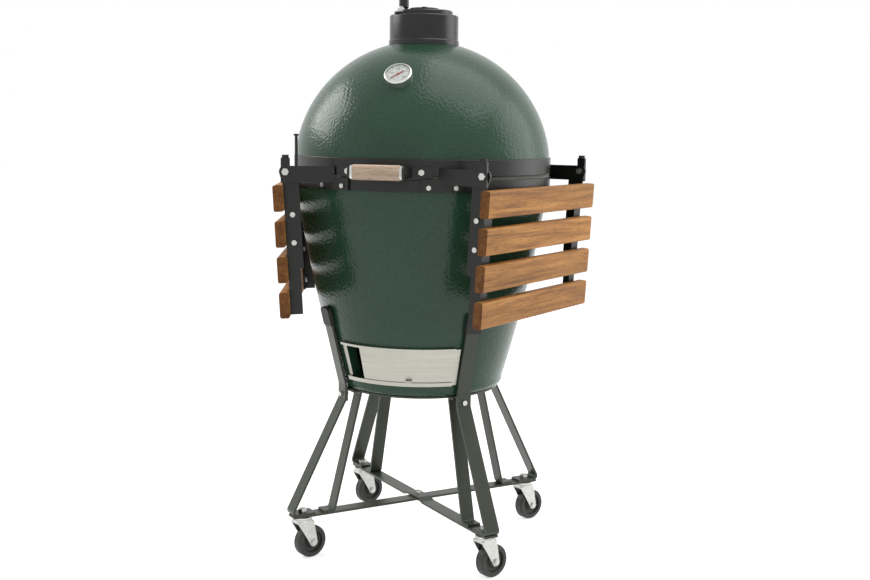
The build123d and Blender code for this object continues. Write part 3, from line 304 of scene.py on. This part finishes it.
bmesh.ops.recalc_face_normals(bm, faces=bm.faces[:])
base_shell = make_piece("glazed_base", bm, green_glaze, "base")
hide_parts("base_shell")


def dress(finish, *names):
    """Give CAD nodes their finish."""
    for name in names:
        mesh = nodes[name].data
        mesh.materials.clear()
        mesh.materials.append(finish)


# ---- Fire box, fire ring, grate and grid ----
# Unglazed fire-clay linings that stand loose in the base, a cast-iron coal grate on a ledge
# in the fire box, and a welded stainless cooking grid on top of the ring.
def clay_finish(name, colour, soot):
    """Chalky fire clay with sandy grain and soot clouds."""
    clay = Finish(name)
    place = clay.add("TexCoord").outputs["Object"]
    smoke = clay.add("TexNoise", {"Vector": place, "Scale": 9.0, "Detail": 5.0, "Roughness": 0.6})
    sand = clay.add("TexNoise", {"Vector": place, "Scale": 600.0, "Detail": 2.0})
    tone = clay.ramp(smoke.outputs["Fac"], (0.38, soot), (0.62, colour))
    relief = clay.add("Bump", {"Height": sand.outputs["Fac"], "Strength": 0.4, "Distance": 0.0006})
    clay.shade(Base_Color=tone, Roughness=0.92, Normal=relief.outputs["Normal"])
    return clay.material


fire_clay = clay_finish("fire_clay", (0.55, 0.46, 0.36), (0.30, 0.25, 0.20))
dress(fire_clay, "fire_box", "fire_ring")


def iron_finish(name, colour, gloss):
    """Sand-cast iron under thin black enamel: fine pits, a worn sheen and faint brown bloom."""
    iron = Finish(name)
    place = iron.add("TexCoord").outputs["Object"]
    pits = iron.add("TexNoise", {"Vector": place, "Scale": 480.0, "Detail": 3.0, "Roughness": 0.6})
    bloom = iron.add("TexNoise", {"Vector": place, "Scale": 26.0, "Detail": 4.0})
    tone = iron.ramp(bloom.outputs["Fac"], (0.35, colour), (0.72, tuple(1.7 * c + 0.004 for c in colour)))
    sheen = iron.add("MapRange", {"Value": bloom.outputs["Fac"], "To Min": gloss, "To Max": gloss + 0.22})
    relief = iron.add("Bump", {"Height": pits.outputs["Fac"], "Strength": 0.5, "Distance": 0.0005})
    iron.shade(Base_Color=tone, Roughness=sheen.outputs["Result"], Normal=relief.outputs["Normal"],
               Specular_IOR_Level=0.4)
    return iron.material


grate_iron = iron_finish("grate_iron", (0.030, 0.028, 0.026), 0.62)
dress(grate_iron, "fire_grate")

# Brush marks: long fine scratches that run level round the piece, as a light change of
# height and tone.
brush = Finish("brush_marks", group=True)
brush_in = brush.sockets("INPUT", Vector=("Vector", None), Fineness=("Float", 1.0))
brush_out = brush.sockets("OUTPUT", Mark=("Float", None), Height=("Float", None))
stretched = brush.add("VectorMath", {0: brush_in.outputs["Vector"], 1: (9.0, 9.0, 900.0)},
                      operation="MULTIPLY")
marks = brush.add("TexNoise", {"Vector": stretched.outputs["Vector"], "Scale": brush_in.outputs["Fineness"],
                               "Detail": 6.0, "Roughness": 0.7})
brush.put(marks.outputs["Fac"], brush_out.inputs["Mark"])
brush.put(marks.outputs["Fac"], brush_out.inputs["Height"])


def steel_finish(name, dark, light, gloss, fineness):
    """Brushed stainless steel."""
    steel = Finish(name)
    place = steel.add("TexCoord").outputs["Object"]
    lines = steel.add(brush.tree, {"Vector": place, "Fineness": fineness})
    smudge = steel.add("TexNoise", {"Vector": place, "Scale": 18.0, "Detail": 3.0})
    tone = steel.ramp(lines.outputs["Mark"], (0.35, dark), (0.65, light))
    hazy = steel.add("Math", {0: smudge.outputs["Fac"], 1: 0.16, 2: gloss}, operation="MULTIPLY_ADD")
    relief = steel.add("Bump", {"Height": lines.outputs["Height"], "Strength": 0.12, "Distance": 0.0003})
    steel.shade(Base_Color=tone, Metallic=1.0, Roughness=hazy.outputs["Value"],
                Normal=relief.outputs["Normal"])
    return steel.material


grid_steel = steel_finish("grid_steel", (0.42, 0.40, 0.37), (0.60, 0.58, 0.55), 0.28, 1.0)
dress(grid_steel, "cooking_grid", "cooking_grid_bars")

# ---- Felt gaskets ----
# Pressed-felt strips, glued to both rims and greyed by smoke. They show as a thin line
# between the steel bands.
felt = Finish("pressed_felt")
felt_place = felt.add("TexCoord").outputs["Object"]
fibre = felt.add("TexNoise", {"Vector": felt_place, "Scale": 900.0, "Detail": 4.0, "Roughness": 0.7})
soot = felt.add("TexNoise", {"Vector": felt_place, "Scale": 16.0, "Detail": 3.0})
felt_tone = felt.ramp(soot.outputs["Fac"], (0.3, (0.10, 0.10, 0.09)), (0.6, (0.17, 0.18, 0.155)))
felt_relief = felt.add("Bump", {"Height": fibre.outputs["Fac"], "Strength": 0.8, "Distance": 0.0006})
felt.shade(Base_Color=felt_tone, Roughness=0.95, Normal=felt_relief.outputs["Normal"], Sheen_Weight=0.3)
dress(felt.material, "base_gasket", "dome_gasket")

# ---- Steel bands ----
# One flat steel hoop round each rim, powder coated satin black, that grips the ceramic and
# carries the hinge, the handle and the shelf brackets. The coat has the faint orange peel
# and patchy sheen of baked powder paint.
coat = Finish("powder_coat", group=True)
coat_in = coat.sockets("INPUT", Vector=("Vector", None), Colour=("Color", (0.02, 0.02, 0.02, 1.0)),
                       Gloss=("Float", 0.4))
coat_out = coat.sockets("OUTPUT", Colour=("Color", None), Roughness=("Float", None), Height=("Float", None))
peel = coat.add("TexNoise", {"Vector": coat_in.outputs["Vector"], "Scale": 420.0, "Detail": 2.0})
patch = coat.add("TexNoise", {"Vector": coat_in.outputs["Vector"], "Scale": 12.0, "Detail": 4.0})
dusty = coat.add("MapRange", {"Value": patch.outputs["Fac"], "From Min": 0.3, "From Max": 0.8,
                              "To Min": 0.9, "To Max": 1.25})
shaded = coat.add("VectorMath", {0: coat_in.outputs["Colour"], "Scale": dusty.outputs["Result"]},
                  operation="SCALE")
rougher = coat.add("Math", {0: patch.outputs["Fac"], 1: 0.16, 2: coat_in.outputs["Gloss"]},
                   operation="MULTIPLY_ADD")
coat.put(shaded.outputs["Vector"], coat_out.inputs["Colour"])
coat.put(rougher.outputs["Value"], coat_out.inputs["Roughness"])
coat.put(peel.outputs["Fac"], coat_out.inputs["Height"])


def painted_finish(name, colour, gloss):
    """An even coat with a faint orange peel: powder paint, moulded plastic or printing ink."""
    paint = Finish(name)
    place = paint.add("TexCoord").outputs["Object"]
    skin = paint.add(coat.tree, {"Vector": place, "Colour": (*colour, 1.0), "Gloss": gloss})
    relief = paint.add("Bump", {"Height": skin.outputs["Height"], "Strength": 0.25, "Distance": 0.0004})
    paint.shade(Base_Color=skin.outputs["Colour"], Roughness=skin.outputs["Roughness"],
                Normal=relief.outputs["Normal"], Specular_IOR_Level=0.4)
    return paint.material


black_paint = painted_finish("black_paint", (0.006, 0.007, 0.0055), 0.26)
dress(black_paint, "lower_band", "upper_band")

# ---- Draft frame, door and ember screen ----
# Brushed stainless sheet bent to the belly's curve: a lipped frame over the draft opening,
# a solid door with a pull tab that slides in the lips, and a slotted ember screen behind it.
door_steel = steel_finish("door_steel", (0.37, 0.365, 0.32), (0.47, 0.46, 0.41), 0.32, 1.0)
SHEET_T, PANEL_T, PANEL_GAP = 0.0015, 0.0012, 0.0004
FRAME_LAP, LOW_LIP, HIGH_LIP = 0.0065, 0.0085, 0.0050
TAB_LIFT, TAB_H, TAB_OUT, TAB_HALF = 0.002, 0.003, 0.0075, radians(2)
SCREEN_OUT = SHEET_T + PANEL_GAP
DOOR_OUT = SCREEN_OUT + PANEL_T + PANEL_GAP
LIP_OUT = DOOR_OUT + PANEL_T + PANEL_GAP
FRAME_LOW, FRAME_HIGH = DRAFT_LOW - FRAME_LAP, DRAFT_HIGH + FRAME_LAP
FRAME_HALF, PANEL_HALF, PANEL_TURN = radians(36.5), radians(30.5), radians(9)


def belly_radius(height):
    """Radius of the glazed belly at a height."""
    return BELLY_CENTRE[0] + sqrt(BELLY_RADIUS ** 2 - (height - BELLY_CENTRE[2]) ** 2)


def bend_sheet(bm, low, high, out, thick, left, right):
    """
    Add a sheet bent round the belly, from one height to another and one angle beside the
    front to another. It starts a distance out from the glaze and has a thickness.
    """
    corners = [bm.verts.new((belly_radius(height) + reach, 0, height))
               for height, reach in ((low, out), (low, out + thick), (high, out + thick), (high, out))]
    end = bmesh.ops.contextual_create(bm, geom=corners)["faces"]
    bmesh.ops.rotate(bm, verts=corners, cent=(0, 0, 0), matrix=Matrix.Rotation(left - radians(90), 3, "Z"))
    bmesh.ops.spin(bm, geom=end, cent=(0, 0, 0), axis=(0, 0, 1), angle=right - left,
                   steps=max(2, round(degrees(right - left))))


bm = bmesh.new()
bend_sheet(bm, FRAME_LOW, DRAFT_LOW, 0, SHEET_T, -FRAME_HALF, FRAME_HALF)
bend_sheet(bm, DRAFT_HIGH, FRAME_HIGH, 0, SHEET_T, -FRAME_HALF, FRAME_HALF)
bend_sheet(bm, DRAFT_LOW, DRAFT_HIGH, 0, SHEET_T, -FRAME_HALF, DRAFT_TURN - DRAFT_HALF)
bend_sheet(bm, DRAFT_LOW, DRAFT_HIGH, 0, SHEET_T, DRAFT_TURN + DRAFT_HALF, FRAME_HALF)
bend_sheet(bm, FRAME_LOW, FRAME_LOW + SHEET_T, SHEET_T, LIP_OUT, -FRAME_HALF, FRAME_HALF)
bend_sheet(bm, FRAME_HIGH - SHEET_T, FRAME_HIGH, SHEET_T, LIP_OUT, -FRAME_HALF, FRAME_HALF)
bend_sheet(bm, FRAME_LOW + SHEET_T, FRAME_LOW + LOW_LIP, LIP_OUT, SHEET_T, -FRAME_HALF, FRAME_HALF)
bend_sheet(bm, FRAME_HIGH - HIGH_LIP, FRAME_HIGH - SHEET_T, LIP_OUT, SHEET_T, -FRAME_HALF, FRAME_HALF)
bmesh.ops.recalc_face_normals(bm, faces=bm.faces[:])
draft_frame = make_piece("bent_draft_frame", bm, door_steel, "base")
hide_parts("draft_frame")

PANEL_LOW, PANEL_HIGH = FRAME_LOW + SHEET_T + PANEL_GAP, FRAME_HIGH - SHEET_T - PANEL_GAP
PANEL_LEFT, PANEL_RIGHT = PANEL_TURN - PANEL_HALF, PANEL_TURN + PANEL_HALF
bm = bmesh.new()
bend_sheet(bm, PANEL_LOW, PANEL_HIGH, DOOR_OUT, PANEL_T, PANEL_LEFT, PANEL_RIGHT)
TAB_LOW = FRAME_LOW + LOW_LIP + TAB_LIFT
bend_sheet(bm, TAB_LOW, TAB_LOW + TAB_H, DOOR_OUT + PANEL_T, TAB_OUT,
           PANEL_TURN - TAB_HALF, PANEL_TURN + TAB_HALF)
bmesh.ops.recalc_face_normals(bm, faces=bm.faces[:])
draft_door = make_piece("bent_draft_door", bm, door_steel, "draft_door")
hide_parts("draft_door")

SLOT_PITCH, SLOT_HALF, SLOT_COUNT, SLOT_LOW, SLOT_HIGH = radians(6), radians(1.5), 9, 0.407, 0.457
bm = bmesh.new()
bend_sheet(bm, PANEL_LOW, SLOT_LOW, SCREEN_OUT, PANEL_T, PANEL_LEFT, PANEL_RIGHT)
bend_sheet(bm, SLOT_HIGH, PANEL_HIGH, SCREEN_OUT, PANEL_T, PANEL_LEFT, PANEL_RIGHT)
bar_left = PANEL_LEFT
for slot in range(SLOT_COUNT + 1):
    slot_turn = PANEL_TURN + (slot - (SLOT_COUNT - 1) / 2) * SLOT_PITCH
    bar_right = PANEL_RIGHT if slot == SLOT_COUNT else slot_turn - SLOT_HALF
    bend_sheet(bm, SLOT_LOW, SLOT_HIGH, SCREEN_OUT, PANEL_T, bar_left, bar_right)
    bar_left = slot_turn + SLOT_HALF
bmesh.ops.recalc_face_normals(bm, faces=bm.faces[:])
draft_screen = make_piece("bent_ember_screen", bm, door_steel, "draft_screen")
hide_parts("draft_screen")

# ---- Rear hinge and lift springs ----
# Black steel bracket bolted to the lower band, two lever arms on the upper band, a zinc
# pivot pin, and two zinc rods with bright coil springs that help to lift the dome.
dress(black_paint, "hinge_bracket", "hinge_arms")


def zinc_finish(name, dark, light, gloss):
    """Bright zinc plating, with the faint spangle and dulling of handled fasteners."""
    zinc = Finish(name)
    place = zinc.add("TexCoord").outputs["Object"]
    spangle = zinc.add("TexVoronoi", {"Vector": place, "Scale": 260.0}, feature="F1")
    haze = zinc.add("TexNoise", {"Vector": place, "Scale": 90.0, "Detail": 3.0})
    tone = zinc.ramp(spangle.outputs["Color"], (0.2, dark), (0.8, light))
    dulled = zinc.add("Math", {0: haze.outputs["Fac"], 1: 0.25, 2: gloss}, operation="MULTIPLY_ADD")
    zinc.shade(Base_Color=tone, Metallic=1.0, Roughness=dulled.outputs["Value"])
    return zinc.material


bright_zinc = zinc_finish("bright_zinc", (0.50, 0.50, 0.48), (0.60, 0.60, 0.57), 0.22)
dress(bright_zinc, "hinge_pin", "spring_rods")

WIRE_R, COIL_R, COIL_LOW, COIL_HIGH, COIL_TURNS, COIL_STEPS = 0.0015, 0.0085, 0.6897, 0.7781, 9, 20
SPRING_X, SPRING_Y = 0.036, 0.34228
steps = COIL_STEPS * COIL_TURNS
bm = bmesh.new()
for side in (-1, 1):
    ring = bmesh.ops.create_circle(bm, cap_ends=True, radius=WIRE_R, segments=10)
    wire_end = [face for face in bm.faces if set(face.verts) == set(ring["verts"])]
    bmesh.ops.rotate(bm, verts=ring["verts"], cent=(0, 0, 0), matrix=Matrix.Rotation(radians(90), 3, "X"))
    bmesh.ops.translate(bm, verts=ring["verts"], vec=(side * SPRING_X + COIL_R, SPRING_Y, COIL_LOW))
    bmesh.ops.spin(bm, geom=wire_end, cent=(side * SPRING_X, SPRING_Y, COIL_LOW), axis=(0, 0, 1),
                   dvec=(0, 0, (COIL_HIGH - COIL_LOW) / steps), angle=2 * pi * COIL_TURNS, steps=steps)
bmesh.ops.recalc_face_normals(bm, faces=bm.faces[:])
spring_steel = zinc_finish("spring_steel", (0.50, 0.50, 0.50), (0.66, 0.66, 0.66), 0.16)
springs = make_piece("coil_springs", bm, spring_steel, sharp=60)
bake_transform(springs)
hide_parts("lid_springs")

# ---- Ceramic dome ----
# The upper half of the egg, slip cast and glazed like the base, drawn in to a short chimney
# neck. A straight skirt at its foot is gripped by the upper band.
DOME_Z, DOME_MID, DOME_A, DOME_B = 0.8311, 0.8411, 0.277, 0.270
SHOULDER_R, NECK_R, NECK_WALL, NECK_TOP = 0.070, 0.052, 0.012, 1.13934
NECK_FLARE, FLARE_LOW, FLARE_HIGH = 0.002, 0.0008, 0.004
bm = bmesh.new()
skirt = bm.verts.new((DOME_A, 0, DOME_MID))
shoulder = sweep_point(bm, skirt, (0, 0, DOME_MID), radians(90) - asin(SHOULDER_R / DOME_A), 56)
inner_skirt = bm.verts.new((DOME_A - WALL, 0, DOME_MID))
inner_sweep = radians(90) - asin((NECK_R - NECK_WALL) / (DOME_A - WALL))
inner_top = sweep_point(bm, inner_skirt, (0, 0, DOME_MID), inner_sweep, 40)
bmesh.ops.scale(bm, verts=bm.verts[:], vec=(1, 1, DOME_B / DOME_A),
                space=Matrix.Translation((0, 0, -DOME_MID)))
for vert in bm.verts:
    vert.co.x = min(vert.co.x, RIM_R)
neck = line_to(bm, shoulder, NECK_R + NECK_FLARE, shoulder.co.z + FLARE_LOW)
neck = line_to(bm, neck, NECK_R, shoulder.co.z + FLARE_HIGH)
neck = line_to(bm, neck, NECK_R, NECK_TOP)
neck = line_to(bm, neck, NECK_R - NECK_WALL, NECK_TOP)
bm.edges.new((neck, inner_top))
foot = line_to(bm, skirt, RIM_R, DOME_Z + RIM_EASE)
foot = line_to(bm, foot, RIM_R - RIM_EASE, DOME_Z)
foot = line_to(bm, foot, DOME_A - WALL, DOME_Z)
bm.edges.new((foot, inner_skirt))
turn_profile(bm, 240)
dome_shell = make_piece("glazed_dome", bm, green_glaze, "dome")
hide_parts("dome_shell")

# ---- Handle ----
# A hardwood grip held between two bent black steel brackets, with a bright ferrule at each
# end of the wood and bright bolts through the brackets.
dress(black_paint, "handle_brackets")
dress(bright_zinc, "dome_fasteners")

# Wood grain: long streaks along one direction, with fine open pores and a slow drift of tone
# from board to board.
wood = Finish("wood_grain", group=True)
wood_in = wood.sockets("INPUT", Vector=("Vector", None), Boards=("Float", 14.0))
wood_out = wood.sockets("OUTPUT", Streak=("Float", None), Pore=("Float", None), Board=("Float", None))
along = wood.add("VectorMath", {0: wood_in.outputs["Vector"], 1: (1.0, 0.055, 1.0)}, operation="MULTIPLY")
bend = wood.add("TexNoise", {"Vector": along.outputs["Vector"], "Scale": 22.0, "Detail": 2.0})
bent = wood.add("VectorMath", {0: bend.outputs["Color"], 1: (0.05, 0.0, 0.05)}, operation="MULTIPLY")
grown = wood.add("VectorMath", {0: along.outputs["Vector"], 1: bent.outputs["Vector"]}, operation="ADD")
streak = wood.add("TexNoise", {"Vector": grown.outputs["Vector"], "Scale": 95.0, "Detail": 7.0,
                               "Roughness": 0.62})
pore = wood.add("TexNoise", {"Vector": along.outputs["Vector"], "Scale": 900.0, "Detail": 2.0})
board = wood.add("TexNoise", {"Vector": along.outputs["Vector"], "Scale": wood_in.outputs["Boards"],
                              "Detail": 0.0})
wood.put(streak.outputs["Fac"], wood_out.inputs["Streak"])
wood.put(pore.outputs["Fac"], wood_out.inputs["Pore"])
wood.put(board.outputs["Fac"], wood_out.inputs["Board"])


def wood_finish(name, dark, middle, light, turn):
    """Oiled hardwood with darker end grain. The grain runs along Y once it is turned about Z."""
    timber = Finish(name)
    coords = timber.add("TexCoord")
    rotation = (0.0, 0.0, radians(turn))
    lined = timber.add("Mapping", {"Vector": coords.outputs["Object"], "Rotation": rotation})
    facing = timber.add("Mapping", {"Vector": coords.outputs["Normal"], "Rotation": rotation})
    facing = timber.add("SeparateXYZ", {"Vector": facing.outputs["Vector"]})
    endways = timber.add("Math", {0: facing.outputs["Y"]}, operation="ABSOLUTE")
    endways = timber.add("MapRange", {"Value": endways.outputs["Value"], "From Min": 0.6, "From Max": 0.9})
    grain = timber.add(wood.tree, {"Vector": lined.outputs["Vector"], "Boards": 14.0})
    tone = timber.ramp(grain.outputs["Streak"], (0.30, dark), (0.50, middle), (0.68, light))
    drift = timber.ramp(grain.outputs["Board"], (0.35, (0.80, 0.78, 0.76)), (0.65, (1.08, 1.05, 1.02)))
    toned = timber.add("Mix", {"Factor": 1.0, "A": tone, "B": drift}, data_type="RGBA",
                       blend_type="MULTIPLY")
    dots = timber.ramp(grain.outputs["Pore"], (0.34, (0.45, 0.40, 0.36)), (0.44, (1.0, 1.0, 1.0)))
    pored = timber.add("Mix", {"Factor": 0.7, "A": toned.outputs["Result"], "B": dots}, data_type="RGBA",
                       blend_type="MULTIPLY")
    oiled = timber.add("Mix", {"Factor": endways.outputs["Result"], "A": pored.outputs["Result"]},
                       data_type="RGBA", blend_type="MULTIPLY")
    oiled.inputs["B"].default_value = (0.42, 0.36, 0.30, 1.0)
    sheen = timber.add("MapRange", {"Value": grain.outputs["Streak"], "To Min": 0.42, "To Max": 0.66})
    relief = timber.add("Bump", {"Height": grain.outputs["Pore"], "Strength": 0.25, "Distance": 0.0004})
    timber.shade(Base_Color=oiled.outputs["Result"], Roughness=sheen.outputs["Result"],
                 Normal=relief.outputs["Normal"], Specular_IOR_Level=0.25)
    return timber.material


grip_wood = wood_finish("grip_wood", (0.54, 0.38, 0.28), (0.69, 0.53, 0.41), (0.80, 0.66, 0.54), 90)
dress(grip_wood, "handle_grip")

# ---- Thermometer ----
# Pressed stainless case on a stem through the dome, with a white dial, a red needle and a
# flat glass. The dial carries a plain scale with generic numbers.
case_steel = steel_finish("case_steel", (0.60, 0.60, 0.58), (0.78, 0.78, 0.75), 0.16, 1.0)
dress(case_steel, "thermometer_case")
dial_paint = painted_finish("dial_paint", (0.80, 0.80, 0.77), 0.30)
dress(dial_paint, "thermometer_dial")
needle_paint = painted_finish("needle_paint", (0.45, 0.02, 0.012), 0.30)
dress(needle_paint, "thermometer_pointer")
lens_glass = Finish("lens_glass")
lens_place = lens_glass.add("TexCoord").outputs["Object"]
lens_smear = lens_glass.add("TexNoise", {"Vector": lens_place, "Scale": 60.0, "Detail": 2.0})
lens_rough = lens_glass.add("MapRange", {"Value": lens_smear.outputs["Fac"], "To Min": 0.02, "To Max": 0.10})
lens_glass.shade(Base_Color=(0.95, 0.97, 0.96, 1.0), Roughness=lens_rough.outputs["Result"], IOR=1.45)
lens_glass.shader.inputs["Transmission Weight"].default_value = 1.0
dress(lens_glass.material, "thermometer_lens")

DIAL_AT = Vector((0.00707477, -0.202595, 1.0251))
DIAL_OUT = Vector((0.025235, -0.722629, 0.690775)).normalized()
DIAL_RIGHT = Vector((cos(radians(2)), sin(radians(2)), 0))
DIAL_UP = DIAL_OUT.cross(DIAL_RIGHT)
DIAL_FACE, DIAL_R, PRINT_T, NUMBER_R, NUMBER_H = 0.0092, 0.0246, 0.00015, 0.0148, 0.0052
on_dial = Matrix.Translation(DIAL_AT) @ Matrix((DIAL_RIGHT, DIAL_UP, DIAL_OUT)).transposed().to_4x4()
dial_ink = painted_finish("dial_ink", (0.015, 0.015, 0.015), 0.45)
bm = bmesh.new()
SCALE_START, SCALE_SWEEP, SCALE_MARKS, SCALE_NUMBERS, LOWEST, APART = 230.0, 260.0, 32, 5, 50, 75
LONG_MARK, SHORT_MARK, MARK_IN = (0.0035, 0.0006, PRINT_T), (0.002, 0.00035, PRINT_T), 0.0035
for mark in range(SCALE_MARKS + 1):
    tick = bmesh.ops.create_cube(bm, size=1)["verts"]
    bmesh.ops.scale(bm, verts=tick, vec=SHORT_MARK if mark % 4 else LONG_MARK)
    bmesh.ops.translate(bm, verts=tick, vec=(DIAL_R - MARK_IN, 0, DIAL_FACE + PRINT_T / 2))
    turn = radians(SCALE_START - SCALE_SWEEP * mark / SCALE_MARKS)
    bmesh.ops.rotate(bm, verts=tick, cent=(0, 0, 0), matrix=Matrix.Rotation(turn, 3, "Z"))
bmesh.ops.transform(bm, matrix=on_dial, verts=bm.verts[:])
dial_marks = make_piece("dial_marks", bm, dial_ink, "dome")
for number in range(SCALE_NUMBERS):
    turn = radians(SCALE_START - SCALE_SWEEP * number / (SCALE_NUMBERS - 1))
    words = bpy.data.curves.new(f"dial_number_{number}", "FONT")
    words.body = str(LOWEST + APART * number)
    words.size = NUMBER_H
    words.extrude = PRINT_T / 2
    words.align_x = "CENTER"
    words.align_y = "CENTER"
    writer = bpy.data.objects.new(f"dial_writer_{number}", words)
    bpy.context.scene.collection.objects.link(writer)
    bpy.context.view_layer.update()
    built = writer.evaluated_get(bpy.context.evaluated_depsgraph_get())
    printed = bpy.data.meshes.new_from_object(built)
    bpy.data.objects.remove(writer)
    place = Matrix.Translation((NUMBER_R * cos(turn), NUMBER_R * sin(turn), DIAL_FACE + PRINT_T / 2))
    printed.transform(on_dial @ place)
    printed.materials.clear()
    printed.materials.append(dial_ink)
    label = bpy.data.objects.new(f"dial_number_{number}", printed)
    bpy.context.scene.collection.objects.link(label)
    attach(label, "dome")

# ---- Chimney cap ----
# Enamelled cast-iron sleeve over the neck, round at its top edge and lipped at its foot. A
# lid with a wide rim swings off it on a bright bolt that stands in a notch of the rim, and
# a daisy wheel on the lid turns over petal-shaped vents.
cap_iron = iron_finish("cap_iron", (0.006, 0.0065, 0.006), 0.10)
dress(cap_iron, "slide_lid", "daisy_wheel", "lid_knob")
dress(bright_zinc, "cap_pivot_bolt")

SLEEVE_R, SLEEVE_IN, SLEEVE_FOOT, SLEEVE_TOP, SLEEVE_ROUND = 0.0740, 0.0524, 1.1012, 1.16434, 0.004
FOOT_LIP, FOOT_LIP_H, LIP_SLOPE, SEAT_T, SEAT_GAP, NECK_GAP = 0.0015, 0.009, 0.002, 0.006, 0.0003, 0.0004
UNDERCUT, DOME_GAP = 0.005, 0.0016
bm = bmesh.new()
edge = bm.verts.new((SLEEVE_R + FOOT_LIP, 0, SLEEVE_FOOT))
side = line_to(bm, edge, SLEEVE_R + FOOT_LIP, SLEEVE_FOOT + FOOT_LIP_H)
side = line_to(bm, side, SLEEVE_R, SLEEVE_FOOT + FOOT_LIP_H + LIP_SLOPE)
side = line_to(bm, side, SLEEVE_R, SLEEVE_TOP - SLEEVE_ROUND)
side = sweep_point(bm, side, (SLEEVE_R - SLEEVE_ROUND, 0, SLEEVE_TOP - SLEEVE_ROUND), radians(90), 5)
side = line_to(bm, side, SLEEVE_IN, SLEEVE_TOP)
side = line_to(bm, side, SLEEVE_IN, NECK_TOP + SEAT_T)
side = line_to(bm, side, NECK_R - NECK_WALL, NECK_TOP + SEAT_T)
side = line_to(bm, side, NECK_R - NECK_WALL, NECK_TOP + SEAT_GAP)
side = line_to(bm, side, NECK_R + NECK_GAP, NECK_TOP + SEAT_GAP)
side = line_to(bm, side, NECK_R + NECK_GAP, SLEEVE_FOOT + UNDERCUT)
side = line_to(bm, side, SHOULDER_R, SLEEVE_FOOT + DOME_GAP)
bm.edges.new((side, edge))
turn_profile(bm, 120)
cap_sleeve = make_piece("cast_sleeve", bm, cap_iron, "dome")
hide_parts("cap_sleeve")

LID_CORE, LID_WIDE, LID_LOW, LID_HIGH = 0.0505, 0.0615, 1.16474, 1.17434
LID_EASE, LID_ROUND, BOLT_TURN, NOTCH_HALF = 0.001, 0.0025, radians(-37), radians(13)
bm = bmesh.new()
edge = bm.verts.new((LID_CORE, 0, LID_LOW))
side = line_to(bm, edge, LID_WIDE - LID_EASE, LID_LOW)
side = line_to(bm, side, LID_WIDE, LID_LOW + LID_EASE)
side = line_to(bm, side, LID_WIDE, LID_HIGH - LID_ROUND)
side = line_to(bm, side, LID_WIDE - LID_ROUND, LID_HIGH)
side = line_to(bm, side, LID_CORE, LID_HIGH)
bm.edges.new((side, edge))
rim_end = bmesh.ops.contextual_create(bm, geom=bm.edges[:])["faces"]
bmesh.ops.rotate(bm, verts=bm.verts[:], cent=(0, 0, 0),
                 matrix=Matrix.Rotation(BOLT_TURN + NOTCH_HALF - radians(90), 3, "Z"))
bmesh.ops.spin(bm, geom=rim_end, cent=(0, 0, 0), axis=(0, 0, 1), angle=2 * (pi - NOTCH_HALF), steps=96)
bmesh.ops.recalc_face_normals(bm, faces=bm.faces[:])
lid_rim = make_piece("lid_rim", bm, cap_iron, "slide_lid")

# ---- Stand ----
# Flat steel bar, bent cold, drilled and powder coated dark olive grey: outer and inner legs,
# two crossed straps and a flat ring under the ceramic, held with zinc bolts.
stand_paint = painted_finish("stand_paint", (0.040, 0.047, 0.032), 0.26)
dress(stand_paint, "legs_outer", "legs_inner", "cross_straps", "stand_ring")
dress(bright_zinc, "stand_bolts")
cap_plastic = painted_finish("cap_plastic", (0.020, 0.020, 0.019), 0.50)
dress(cap_plastic, "leg_caps")

# ---- Casters ----
# Four swivel casters: a zinc race plate and stem, a pressed zinc fork with its axle bolt, and
# a dark wheel with a soft tread.
rubber = Finish("wheel_rubber")
rubber_place = rubber.add("TexCoord").outputs["Object"]
scuff = rubber.add("TexNoise", {"Vector": rubber_place, "Scale": 70.0, "Detail": 5.0})
rubber_tone = rubber.ramp(scuff.outputs["Fac"], (0.35, (0.016, 0.016, 0.015)), (0.70, (0.036, 0.035, 0.032)))
rubber_rough = rubber.add("MapRange", {"Value": scuff.outputs["Fac"], "To Min": 0.38, "To Max": 0.62})
rubber.shade(Base_Color=rubber_tone, Roughness=rubber_rough.outputs["Result"])
corners = ("front_left", "front_right", "rear_right", "rear_left")
dress(bright_zinc, "caster_stems", *["caster_fork_" + corner for corner in corners])
dress(rubber.material, *["caster_wheel_" + corner for corner in corners])

# ---- Side shelves ----
# Four oiled hardwood slats on each side, screwed to two black steel arms that fold up on
# brackets from the lower band. Both shelves hang down here.
SHELF_TURN = 17.5
for side, turn in (("left", -SHELF_TURN), ("right", SHELF_TURN)):
    slat_wood = wood_finish("slat_wood_" + side, (0.22, 0.092, 0.023), (0.44, 0.200, 0.054),
                            (0.60, 0.305, 0.096), turn)
    dress(slat_wood, *[f"slat_{side}_{index}" for index in range(1, 5)])
    dress(black_paint, "shelf_arms_" + side)
    dress(bright_zinc, "shelf_bolts_" + side)
dress(black_paint, "shelf_brackets")
dress(bright_zinc, "base_fasteners")
